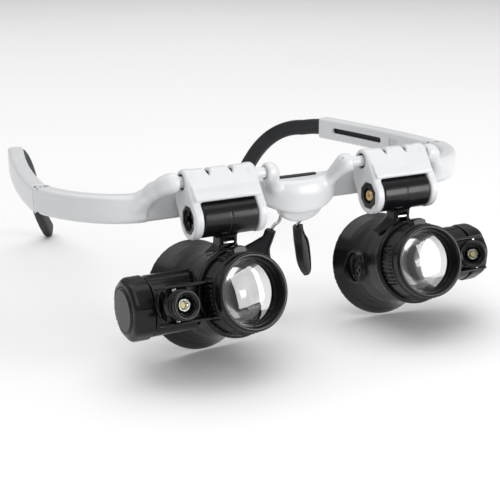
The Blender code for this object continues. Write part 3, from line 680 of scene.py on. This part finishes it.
def build_bracket(side, word):
    inner, outer = BRACKET
    shape = skin(bracket_field, (inner - 1, -7.5, -7.5), (outer + 1, 12.0, 16.0), 0.3)
    add_piece(f"{word}_lens_bracket_moulding", f"{word}_bracket", shape, WHITE, side,
              f"{word}_lens_bracket")
    pin = softened([(PIN_SPAN[0], 0.0), (PIN_SPAN[0], PIN_R), (PIN_SPAN[1], PIN_R),
                    (PIN_SPAN[1], 0.0)], 0.3, closed=False)
    add_piece(f"{word}_pivot_pin_turned", "frame", lathed(pin, moved(0, PIVOT.y, PIVOT.z) @ ALONG_X,
              48), WHITE, side, f"{word}_pivot_pin")
    build_axle(side, word, inner, outer)


def axle_field(points, start, end, socket):
    body = octagon_field(points, OCTAGON_R, start, end)
    chamfer = octagon_field(points, OCTAGON_R + 0.9, start - 9, end + 9)
    across = np.minimum(points[:, 0] - start, end - points[:, 0])
    body = smax(body, chamfer + 0.6 - across, 0.15)
    radius = np.hypot(points[:, 1], points[:, 2])
    return smax(body, -smax(radius - socket[1], socket[0] * (points[:, 0] - socket[2]), 0.2), 0.15)


def key_field(points, outer):
    """The outer axle end: an octagon with a sunk cross-shaped key."""
    body = axle_field(points, outer - CHEEK - 1.0, outer - 0.2, (-1, 3.4, outer - 0.9))
    y, z = np.abs(points[:, 1]), np.abs(points[:, 2])
    arm = np.minimum(np.maximum(y - 2.7, z - 0.9), np.maximum(y - 0.9, z - 2.7))
    sunk = smax(arm, outer - 2.6 - points[:, 0], 0.15)
    return smax(body, -sunk, 0.15)


def build_axle(side, word, inner, outer):
    body = f"{word}_bracket"
    shape = skin(lambda p: key_field(p, outer), (outer - 4.6, -5.2, -5.2), (outer + 0.6, 5.2, 5.2),
                 0.16, 1)
    add_piece(f"{word}_hinge_axle_end", body, shape, BLACK, side, f"{word}_hinge_axle")
    shape = skin(lambda p: axle_field(p, inner + 0.2, inner + CHEEK + 1.0, (1, 2.6, inner + 1.2)),
                 (inner - 0.6, -5.2, -5.2), (inner + 4.6, 5.2, 5.2), 0.16, 1)
    add_piece(f"{word}_axle_cap_end", body, shape, BLACK, side, f"{word}_axle_cap")
    add_piece(f"{word}_axle_screw_head", body, screw_shape(inner + 0.45), BRASS, side,
              f"{word}_axle_screw")


def screw_shape(face):
    """A brass pan head with a sunk round recess."""
    profile = [(face + 0.7, 0.0), (face + 0.7, 0.75), (face, 0.85), (face - 0.05, 1.0),
               (face + 0.05, 1.7), (face + 0.5, 2.0), (face + 1.1, 2.0), (face + 1.1, 0.0)]
    return lathed(softened(profile, 0.15, closed=False), ALONG_X, 40)


# ---------------------------------------------------------------- loupe
EYECUP_OUT = [(8.6, 10.6), (10.3, 10.6), (10.3, 13.6), (10.7, 14.0), (12.4, 14.0), (12.9, 13.3),
              (14.0, 13.15), (20.0, 13.3), (26.0, 14.0), (29.0, 14.8), (32.0, 15.9), (34.6, 17.2),
              (36.2, 18.0), (36.9, 18.1)]
EYECUP_IN = [(36.9, 17.3), (36.0, 16.8), (31.0, 14.2), (26.0, 12.6), (12.8, 11.6), (8.6, 9.4)]
LENS_RING = [(0.0, 10.9), (0.0, 11.7), (0.45, 12.15), (3.3, 12.15), (3.6, 12.5), (4.3, 12.5),
             (9.1, 12.8), (9.9, 12.8), (9.9, 10.8), (4.4, 10.8), (4.4, 9.8), (3.3, 9.8),
             (2.4, 10.3), (1.0, 10.35)]
VENT_DEPTH, VENT_R = 27.0, 4.75
VENT_HOLE_R, VENT_HOLE_AT = 0.62, 2.4
NECK_X = 33.0


def eyecup_field(points):
    body = ring_field(points, LOUPE, EYECUP_OUT + EYECUP_IN) - 0.12
    local = into(VENT, points)
    radius = np.hypot(local[:, 0], local[:, 2])
    outwards = local[:, 1] > 5.0
    hole = np.where(outwards, radius - VENT_R - 0.18, 5.0)
    collar = smax(radius - VENT_R - 0.85, np.abs(local[:, 1] - 13.3) - 1.7, 0.4)
    body = smin(body, collar, 0.6)
    return smax(body, -hole, 0.25)


VENT = LOUPE @ moved(0, VENT_DEPTH, 0) @ Matrix.Rotation(math.radians(90), 4, "Z")


def vent_field(points):
    local = into(VENT, points)
    radius = np.hypot(local[:, 0], local[:, 2])
    body = smax(radius - VENT_R + 0.1, np.abs(local[:, 1] - 13.2) - 1.0, 0.4)
    dish = smax(radius - 3.9, 13.75 - local[:, 1], 0.4)
    body = smax(body, -dish, 0.3)
    holes = radius - VENT_HOLE_R
    for i in range(6):
        turn = math.pi / 3 * (i + 0.5)
        away = np.hypot(local[:, 0] - VENT_HOLE_AT * math.cos(turn),
                        local[:, 2] - VENT_HOLE_AT * math.sin(turn))
        holes = np.minimum(holes, away - VENT_HOLE_R)
    return smax(body, -holes, 0.2)


def neck_field(points):
    """Hinge barrel with its neck and saddle."""
    x, y, z = points[:, 0], points[:, 1], points[:, 2]
    start, end = BRACKET[0] + CHEEK + 0.25, BRACKET[1] - CHEEK - 0.25
    radius = np.hypot(y, z)
    barrel = smax(radius - BARREL_R, np.maximum(start - x, x - end), 0.35)
    seam = np.hypot(x - NECK_X, radius - BARREL_R) - 0.14
    barrel = smax(barrel, -seam, 0.1)
    depth = np.clip((-4.5 - z) / 7.0, 0, 1.3)
    half = 3.1 + 2.6 * np.clip(depth - 0.55, 0, 1) ** 1.6 * 2.4
    front, back = -3.3 - 3.4 * np.clip(depth - 0.6, 0, 1) * 1.6, 2.3 + 3.2 * np.clip(depth - 0.6, 0, 1)
    column = smax(np.abs(x - NECK_X) - half, smax(front - y, y - back, 0.8), 0.9)
    column = smax(column, np.maximum(z + 4.0, -14.0 - z), 0.3)
    ring = into(LOUPE, points)
    cup = np.hypot(ring[:, 0], ring[:, 2])
    skin_r = np.interp(ring[:, 1], [10.3, 10.31, 12.8, 12.9, 26.0], [13.0, 14.3, 14.3, 13.5, 14.2])
    column = np.maximum(column, skin_r - cup)
    slot = box_field(points, (NECK_X - 1.7, -9.0, -9.8), (NECK_X + 1.7, -1.2, -6.6), 0.4)
    body = smin(barrel, smax(column, -slot, 0.3), 0.9)
    shaft = rod_field(points, ALONG_X, start - 2, end + 2, 2.6, 0.1)
    return np.maximum(body, -shaft)


def build_loupe(side, word):
    body = f"{word}_loupe"
    shape = skin(eyecup_field, *around(LOUPE, (-18.8, 8.0, -18.8), (18.8, 37.6, 18.8)), 0.42)
    add_piece(f"{word}_eyecup_shell", body, shape, BLACK, side, f"{word}_eyecup")
    shape = skin(vent_field, *around(VENT, (-5.2, 11.8, -5.2), (5.2, 14.6, 5.2)), 0.17, 1)
    add_piece(f"{word}_vent_grille", body, shape, BLACK, side, f"{word}_vent_plug")
    shape = skin(neck_field, (BRACKET[0] + 2.0, -8.0, -14.5), (BRACKET[1] - 2.0, 7.5, 7.0), 0.25)
    add_piece(f"{word}_tilt_arm_moulding", body, shape, BLACK, side, f"{word}_tilt_arm")
    pin = softened([(-2.7, 0.0), (-2.7, 0.85), (2.7, 0.85), (2.7, 0.0)], 0.2, closed=False)
    add_piece(f"{word}_arm_pin_turned", body, lathed(pin, moved(NECK_X, -2.3, -8.1) @ ALONG_X, 32),
              STEEL, side, f"{word}_arm_pin")
    build_lens(side, word)


GRIP_GROUPS = (0.0, 90.0, 180.0, 270.0)
GRIP_HALF, GRIP_PITCH, GRIP_HEIGHT = 31, 6.2, 0.42   # degrees, degrees, millimetres


def grip(depth, turn, radius):
    """Short ridges in four groups round the lens ring."""
    if not 4.6 < depth < 9.0 or radius < 12.0:
        return 0.0
    degrees = math.degrees(turn)
    for middle in GRIP_GROUPS:
        away = (degrees - middle + 180) % 360 - 180
        if abs(away) < GRIP_HALF:
            wave = math.cos(math.radians(away * 360 / GRIP_PITCH))
            return GRIP_HEIGHT * max(0.0, min(1.0, 1.6 * wave + 0.3))
    return 0.0


def ring_profile():
    """The lens ring's outline, with stations added where its grip ridges start and end."""
    outline = softened(LENS_RING, 0.3)
    result = []
    for point, after in zip(outline, outline[1:] + outline[:1]):
        result.append(point)
        if abs(point[1] - 12.5) < 0.35 and after[0] - point[0] > 3.0:
            for depth in (4.55, 4.75, 8.85, 9.05):
                part = (depth - point[0]) / (after[0] - point[0])
                if 0 < part < 1:
                    result.append((depth, point[1] + (after[1] - point[1]) * part))
    return result


LENS_EDGE_R = 10.45
LENS_BULGES = (1.2, 3.2)
LENS_FRONT, LENS_BACK = 5.1, 6.1                     # depths of the edge's two rims


def lens_profile():
    """Shallow front face, edge and deep back face of the lens, from pole to pole."""
    radii = [LENS_EDGE_R * i / 24 for i in range(25)]
    faces = []
    for bulge in LENS_BULGES:
        curve = (LENS_EDGE_R ** 2 + bulge ** 2) / (2 * bulge)
        faces.append([(math.sqrt(curve ** 2 - r * r) - curve + bulge, r) for r in radii])
    front, back = faces
    return [(LENS_FRONT - h, r) for h, r in front] + [(LENS_BACK + h, r) for h, r in back[::-1]]


def tab_on_ring_field(points):
    local = into(LOUPE, points)
    tab = box_field(local, (-2.6, 4.6, 11.0), (2.6, 8.6, 14.6), 0.5)
    return smax(tab, np.abs(local[:, 0]) * 0.5 + local[:, 2] - 15.0, 0.4)


def build_lens(side, word):
    body = f"{word}_lens_cell"
    add_piece(f"{word}_lens_ring_turned", body,
              lathed(ring_profile(), LOUPE, 360, closed=True, ripple=grip), BLACK,
              side, f"{word}_lens_ring")
    shape = skin(tab_on_ring_field, *around(LOUPE, (-4, 3, 10), (4, 10, 16)), 0.2, 1)
    add_piece(f"{word}_lens_ring_tab", body, shape, BLACK, side)
    add_piece(f"{word}_lens_polished", body, lathed(lens_profile(), LOUPE, 96), GLASS,
              side, f"{word}_lens")
    retainer = softened([(7.05, 9.4), (7.05, 10.6), (8.3, 10.6), (8.3, 9.4)], 0.25)
    add_piece(f"{word}_lens_retainer_turned", body, lathed(retainer, LOUPE, 96, closed=True), SATIN,
              side, f"{word}_lens_retainer")


# ---------------------------------------------------------------- battery tube and lamp
TUBE_R = 9.5
TUBE_SPAN = (43.3, 60.2)
SPIGOT_R, SPIGOT_END = 7.6, 64.6
CHAMBER_R, CHAMBER_FLOOR = 6.1, 56.9
BOSS_START, BOSS_FRONT, BOSS_HALF = 43.6, -13.0, 5.6
COLLAR_R, COLLAR_BACK = 5.4, -10.4
BROW = [(43.9, -12.0), (43.9, -17.3), (56.5, -17.3), (58.4, -16.9), (59.9, -16.0), (61.0, -14.4),
        (61.3, -12.0)]
BROW_LOW, BROW_HIGH = 5.05, 5.9
CAP_R, CAP_START, CAP_END = 10.0, 60.5, 67.7
CAP_FLATS = 8
POCKET_R, POCKET_HALF = 4.75, 4.85
CUP_SPACE = [(10.0, 13.5), (10.01, 14.25), (12.9, 14.25), (12.95, 13.5), (26.0, 14.3), (31.0, 15.8),
             (36.8, 18.4)]                               # depth, radius that the loupe needs


def lamp_housing_field(local, lamp):
    """The boss over the tube's front, with its round end, brows and the lamp's pocket."""
    x, y, z = local[:, 0], local[:, 1], local[:, 2]
    boss = box_field(local, (BOSS_START, BOSS_FRONT, -BOSS_HALF), (55.9, 0.0, BOSS_HALF), 0.4)
    collar = smax(np.hypot(x - 55.9, z) - COLLAR_R, np.maximum(BOSS_FRONT - y, y - COLLAR_BACK), 0.5)
    plan = outline_field(x, y, BROW)
    brow = smax(plan, np.maximum(BROW_LOW - np.abs(z), np.abs(z) - BROW_HIGH), 0.35)
    body = smin(np.minimum(boss, collar), brow, 0.25)
    pocket = np.hypot(lamp[:, 0], lamp[:, 1]) - POCKET_R
    return smax(body, -smax(pocket, np.abs(lamp[:, 2]) - POCKET_HALF, 0.3), 0.3)


def tube_field(points):
    local = into(TUBE, points)
    x, y, z = local[:, 0], local[:, 1], local[:, 2]
    radius = np.hypot(y, z)
    tube = smax(radius - TUBE_R, np.maximum(TUBE_SPAN[0] - x, x - TUBE_SPAN[1]), 0.5)
    ridge = box_field(local, (44.2, -3.4, 6.0), (TUBE_SPAN[1] - 1.0, 2.2, 9.75), 0.35)
    lamp = into(Matrix.Translation(LAMP_SPOT) @ TUBE.to_3x3().to_4x4(), points)
    body = smin(smin(tube, ridge, 0.3), lamp_housing_field(local, lamp), 0.5)
    spigot = smax(radius - SPIGOT_R, np.maximum(50.0 - x, x - SPIGOT_END), 0.3)
    body = np.minimum(body, spigot)
    body = np.maximum(body, -smax(radius - CHAMBER_R, CHAMBER_FLOOR - x, 0.2))
    ring = into(LOUPE, points)
    cup = np.hypot(ring[:, 0], ring[:, 2])
    depths, radii = zip(*CUP_SPACE)
    return smax(body, np.interp(ring[:, 1], depths, radii) - cup, 0.2)


def cap_field(points):
    """The cap: a cup with eight grip flats between grooves and a raised end disc."""
    local = into(TUBE, points)
    x, radius = local[:, 0], np.hypot(local[:, 1], local[:, 2])
    turn = np.arctan2(local[:, 2], local[:, 1])
    sector = ((turn / (2 * math.pi) * CAP_FLATS) % 1 - 0.5) * (2 * math.pi / CAP_FLATS)
    flat = radius * np.cos(sector) - CAP_R * 0.955
    side = smax(radius - CAP_R, flat - 0.12, 0.3)
    edge = (0.5 * 2 * math.pi / CAP_FLATS - np.abs(sector)) * radius
    rib = smax(np.abs(edge) - 0.42, radius - CAP_R - 0.02, 0.3)
    side = smin(side, smax(rib, 8.0 - radius, 0.2), 0.25)
    body = smax(side, x - CAP_END + 0.5, 2.4)
    body = smax(body, CAP_START - x, 0.5)
    disc = smax(radius - 7.4, np.abs(x - CAP_END + 1.0) - 1.0, 0.35)
    body = smin(body, disc, 0.1)
    moat = smax(np.abs(radius - 6.9) - 0.22, CAP_END - 0.35 - x, 0.15)
    body = smax(body, -moat, 0.15)
    bore = smax(radius - 7.75, x - 65.3, 0.2)
    return np.maximum(body, -bore)


def build_battery(side, word):
    shape = skin(tube_field, *around(TUBE, (42.3, -18.2, -10.4), (65.4, 10.3, 10.6)), 0.34)
    add_piece(f"{word}_battery_tube_moulding", f"{word}_loupe", shape, BLACK, side,
              f"{word}_battery_tube")
    shape = skin(cap_field, *around(TUBE, (59.6, -10.8, -10.8), (68.6, 10.8, 10.8)), 0.26)
    add_piece(f"{word}_battery_cap_moulding", f"{word}_cap", shape, BLACK, side, f"{word}_battery_cap")


LAMP_HEAD = [(5.2, 0.0), (5.2, 2.7), (1.4, 2.7), (0.5, 3.3), (0.0, 3.8), (0.0, 4.25), (0.25, 4.5),
             (1.45, 4.5), (1.6, 4.15), (2.0, 4.15), (2.1, 4.7), (2.95, 4.7), (3.05, 4.25), (3.4, 4.25),
             (3.5, 4.75), (4.35, 4.75), (4.45, 3.75), (5.6, 4.2), (6.8, 4.35), (8.2, 4.1), (9.6, 3.3),
             (10.7, 1.9), (10.7, 0.0)]
LAMP_BULB = [(0.1, 0.0), (0.25, 0.8), (0.7, 1.6), (1.4, 2.15), (2.3, 2.4), (4.5, 2.4), (4.5, 0.0)]
LAMP_REACH = 6.8


def build_lamp(side, word):
    turned = Matrix.Rotation(math.radians(-LAMP_TURNED[side]), 4, "Z")
    place = Matrix.Translation(LAMP_SPOT) @ TUBE.to_3x3().to_4x4() @ turned @ moved(0, -LAMP_REACH)
    body = f"{word}_lamp"
    add_piece(f"{word}_lamp_head_turned", body,
              lathed(softened(LAMP_HEAD, 0.22, closed=False), place, 96), BLACK,
              side, f"{word}_lamp_head")
    add_piece(f"{word}_lamp_bulb_dome", body,
              lathed(softened(LAMP_BULB, 0.5, closed=False, steps=5), place, 48), RESIN, side,
              f"{word}_lamp_bulb")
    build_bulb_inside(side, word, place)


def build_bulb_inside(side, word, place):
    """The reflector cup and phosphor chip in the bulb."""
    cup = softened([(3.2, 0.0), (3.2, 0.5), (2.4, 1.0), (2.4, 1.25), (4.2, 1.25), (4.2, 0.0)], 0.1,
                   closed=False)
    add_piece(f"{word}_lamp_reflector", f"{word}_lamp", lathed(cup, place, 32), STEEL, side)
    chip = softened([(2.7, 0.0), (2.75, 0.5), (3.1, 0.6), (3.15, 0.0)], 0.1, closed=False)
    add_piece(f"{word}_lamp_chip", f"{word}_lamp", lathed(chip, place, 24), PHOSPHOR, side)


PHOSPHOR = moulded("phosphor", ((0.90, 0.80, 0.30), (0.95, 0.88, 0.45)), (0.5, 0.6), 3000.0, 0.1)


# ---------------------------------------------------------------- temples
SLEEVE = [(82.1, 39.6), (81.6, 61.0), (77.2, 84.0), (71.45, 106.1)]
SLEEVE_LOW, SLEEVE_HIGH, SLEEVE_THICK = -3.0, 6.0, 5.8
SLEEVE_TRACK = inner_track(SLEEVE, SLEEVE_THICK, extend=8.0)
STEM_TOE = 11.3
STEM_END = Vector((SLEEVE[3][0] - 0.5 * SLEEVE_THICK + 0.2, SLEEVE[3][1], 0))
STEM = Matrix.Translation(STEM_END) @ Matrix.Rotation(math.radians(STEM_TOE), 4, "Z")
HOOK_TOE = 30.5
HOOK_THICK, HOOK_HIGH = 4.2, 6.6
HOOK_CURVES = [[(0.0, 1.6), (4.5, 1.3), (8.0, 0.7), (12.2, -0.3)],
               [(12.2, -0.3), (30.2, -1.5), (38.7, -15.0), (44.4, -25.8)],
               [(44.4, -25.8), (48.7, -33.0), (58.2, -41.3), (65.7, -46.3)]]
STEM_LENGTH = 37.0
TIP_LENGTH = 3.2                                     # length over which the hook's tip closes
SLEEVE_NOTCHES, NOTCH_START, NOTCH_PITCH = 6, 9.5, 2.9


def sleeve_field(points):
    bar = track_field(points, SLEEVE_TRACK, SLEEVE_THICK, SLEEVE_LOW, SLEEVE_HIGH, 1.5)
    local = into(STEM, points)
    bar = smax(bar, FOLD.y - points[:, 1], 0.3)
    bar = smax(bar, local[:, 1] + 0.15, 0.4)
    gap = box_field(points, (70.0, 30.0, -9.0),
                    (FOLD.x + KNUCKLE + 0.3, FOLD.y + KNUCKLE + 0.6, 12.0), 0.1)
    bar = np.maximum(bar, -gap)
    cavity = box_field(local, (-1.32, -51.0, -1.02), (1.32, 5.0, 4.12), 0.3)
    bar = np.maximum(bar, -cavity)
    window = box_field(local, (-6.0, -37.0, 0.45), (0.0, -8.5, 2.65), 1.05)
    bar = smax(bar, -window, 0.25)
    recess = box_field(local, (-4.5, -46.5, 0.2), (-2.2, -42.0, 3.2), 0.2)
    bar = smax(bar, -recess, 0.15)
    for i in range(SLEEVE_NOTCHES):
        along = -NOTCH_START - NOTCH_PITCH * i
        notch = np.abs(local[:, 1] - along) + np.abs(local[:, 2] + 3.1) * 0.9 - 0.85
        bar = smax(bar, -np.where(local[:, 0] < 0.0, notch, 5.0) * 0.7, 0.15)
    tongue = tab_field(points, *TONGUE, 4.5)
    bar = np.minimum(bar, tongue)
    return np.maximum(bar, -rod_field(points, HINGE_SCREW, -9.0, 9.0, 0.9, 0.1))


def heading(run):
    """The hook's plan direction, in radians inwards, after a run from the sleeve's end."""
    part = min(max(run / 25.0, 0.0), 1.0)
    return math.radians(STEM_TOE + (HOOK_TOE - STEM_TOE) * part * part * (3 - 2 * part))


def hook_section(size):
    """A rounded oblong, with its across and up sizes scaled."""
    half_w, half_h = 0.5 * HOOK_THICK * size, 0.5 * HOOK_HIGH * size
    ring = []
    for i in range(32):
        turn = 2 * math.pi * i / 32
        c, s = math.cos(turn), math.sin(turn)
        ring.append((half_w * math.copysign(abs(c) ** 0.6, c), half_h * math.copysign(abs(s) ** 0.5, s)))
    return ring


def hook_shape():
    line = []
    for curve in HOOK_CURVES:
        line += [(p.x, p.y) for p in curve_points(curve, 26)][1 if line else 0:]
    lengths = [0.0]
    for a, b in zip(line, line[1:]):
        lengths.append(lengths[-1] + math.dist(a, b))
    back = Vector((-math.sin(math.radians(STEM_TOE)), math.cos(math.radians(STEM_TOE)), 0))
    place = STEM_END + back * 0.3
    path, sideways, sections = [], [], []
    previous = 0.0
    for (run, z), reach in zip(line, lengths):
        angle = heading(0.5 * (run + previous))
        place = place + Vector((-math.sin(angle), math.cos(angle), 0)) * (run - previous)
        previous = run
        path.append(Vector((place.x, place.y, z)))
        sideways.append((math.cos(heading(run)), math.sin(heading(run)), 0))
        left = min((lengths[-1] - reach) / TIP_LENGTH, 1.0)
        start = min(reach / 0.8, 1.0)
        size = math.sqrt(max(1 - (1 - left) ** 2, 0.02)) * (0.8 + 0.2 * math.sqrt(start))
        sections.append(hook_section(size))
    return swept(path, sections, sideways)


def stem_field(points):
    local = into(STEM, points)
    return box_field(local, (-1.2, -STEM_LENGTH, -0.9), (1.2, 1.6, 4.0), 0.4)


def build_temple(side, word):
    shape = skin(sleeve_field, (65.0, 36.5, -4.2), (83.6, 108.0, 7.2), 0.32)
    add_piece(f"{word}_temple_sleeve_moulding", f"{word}_temple", shape, WHITE, side,
              f"{word}_temple_sleeve")
    add_piece(f"{word}_ear_hook_moulding", f"{word}_hook", hook_shape(), RUBBER, side,
              f"{word}_ear_hook")
    near, far = STEM @ Vector((0, -STEM_LENGTH - 1, 0)), STEM @ Vector((0, 2.6, 0))
    low = (min(near.x, far.x) - 2.5, near.y - 1.0, -2.0)
    high = (max(near.x, far.x) + 2.5, far.y + 1.0, 5.2)
    shape = skin(stem_field, low, high, 0.35, 1)
    add_piece(f"{word}_ear_hook_stem", f"{word}_hook", shape, RUBBER, side)
    screw = softened([(-2.0, 0.0), (-2.0, 0.8), (5.0, 0.8), (5.0, 1.4), (5.7, 1.3), (5.8, 0.6),
                      (5.3, 0.5), (5.3, 0.0)], 0.12, closed=False)
    add_piece(f"{word}_temple_screw_turned", "frame", lathed(screw, HINGE_SCREW, 32), STEEL,
              side, f"{word}_temple_screw")


# ---------------------------------------------------------------- studio
CAMERA = {"azimuth": -27.89, "elevation": 17.11, "distance": 349.0, "lens": 77.1,
          "right": 21.08, "up": 15.32}
FLOOR_SIZE, FLOOR_Z = 10.0, -0.0006                  # metres; the floor lies just under the hooks
WORLD_STRENGTH = 0.4
LIGHTS = {"key": ((-0.35, -0.55, 0.75), (0, 0, 0.03), (0.5, 0.3), 1.0),
          "lens_softbox": ((0.455, -0.68, 0.21), (-0.033, -0.09, 0.03), (0.37, 0.37), 3.3),
          "top": ((0.0, 0.3, 1.6), (0, 0, 0.0), (2.2, 2.2), 22.0)}    # place, aim, size, watts


def build_camera():
    turn, rise = math.radians(CAMERA["azimuth"]), math.radians(CAMERA["elevation"])
    back = Vector((math.sin(turn) * math.cos(rise), -math.cos(turn) * math.cos(rise), math.sin(rise)))
    right = Vector((math.cos(turn), math.sin(turn), 0))
    up = back.cross(right)
    data = bpy.data.cameras.new("camera")
    data.lens = CAMERA["lens"]
    data.clip_start = 0.01
    camera = bpy.data.objects.new("camera", data)
    bpy.context.collection.objects.link(camera)
    spot = DATUM + (back * CAMERA["distance"] - right * CAMERA["right"] - up * CAMERA["up"]) * MM
    turned = Matrix((right, up, back)).transposed().to_4x4()
    camera.matrix_world = Matrix.Translation(spot) @ turned
    bpy.context.scene.camera = camera


def add_light(name, place, aim, size, power):
    data = bpy.data.lights.new(name, "AREA")
    data.shape = "RECTANGLE"
    data.size, data.size_y = size
    data.energy = power
    light = bpy.data.objects.new(name, data)
    bpy.context.collection.objects.link(light)
    light.location = place
    light.rotation_euler = (Vector(aim) - Vector(place)).to_track_quat("-Z", "Y").to_euler()


def build_studio():
    bpy.ops.mesh.primitive_grid_add(x_subdivisions=8, y_subdivisions=8, size=FLOOR_SIZE,
                                    location=(0, 0, FLOOR_Z))
    floor = bpy.context.object
    floor.name = "studio_floor"
    material, tree, shader = new_material("pale_floor")
    cloud = ranged(tree, noise(tree, 3.0), 0, 1)
    two_tone(tree, shader, cloud, (0.93, 0.93, 0.93), (0.95, 0.95, 0.95))
    shader.inputs["Roughness"].default_value = 0.9
    floor.data.materials.append(material)
    world = bpy.data.worlds.new("studio")
    world.use_nodes = True
    world.node_tree.nodes["Background"].inputs["Color"].default_value = (1.0, 1.0, 1.0, 1)
    world.node_tree.nodes["Background"].inputs["Strength"].default_value = WORLD_STRENGTH
    bpy.context.scene.world = world
    bpy.context.scene.view_settings.view_transform = "Standard"
    for name, (place, aim, size, power) in LIGHTS.items():
        add_light(name, place, aim, size, power)


def build():
    finish_frame_nodes()
    build_camera()
    build_studio()
    build_frame()
    build_nose_rest()
    for side, word in SIDES.items():
        build_bracket(side, word)
        build_loupe(side, word)
        build_battery(side, word)
        build_lamp(side, word)
        build_temple(side, word)


build()
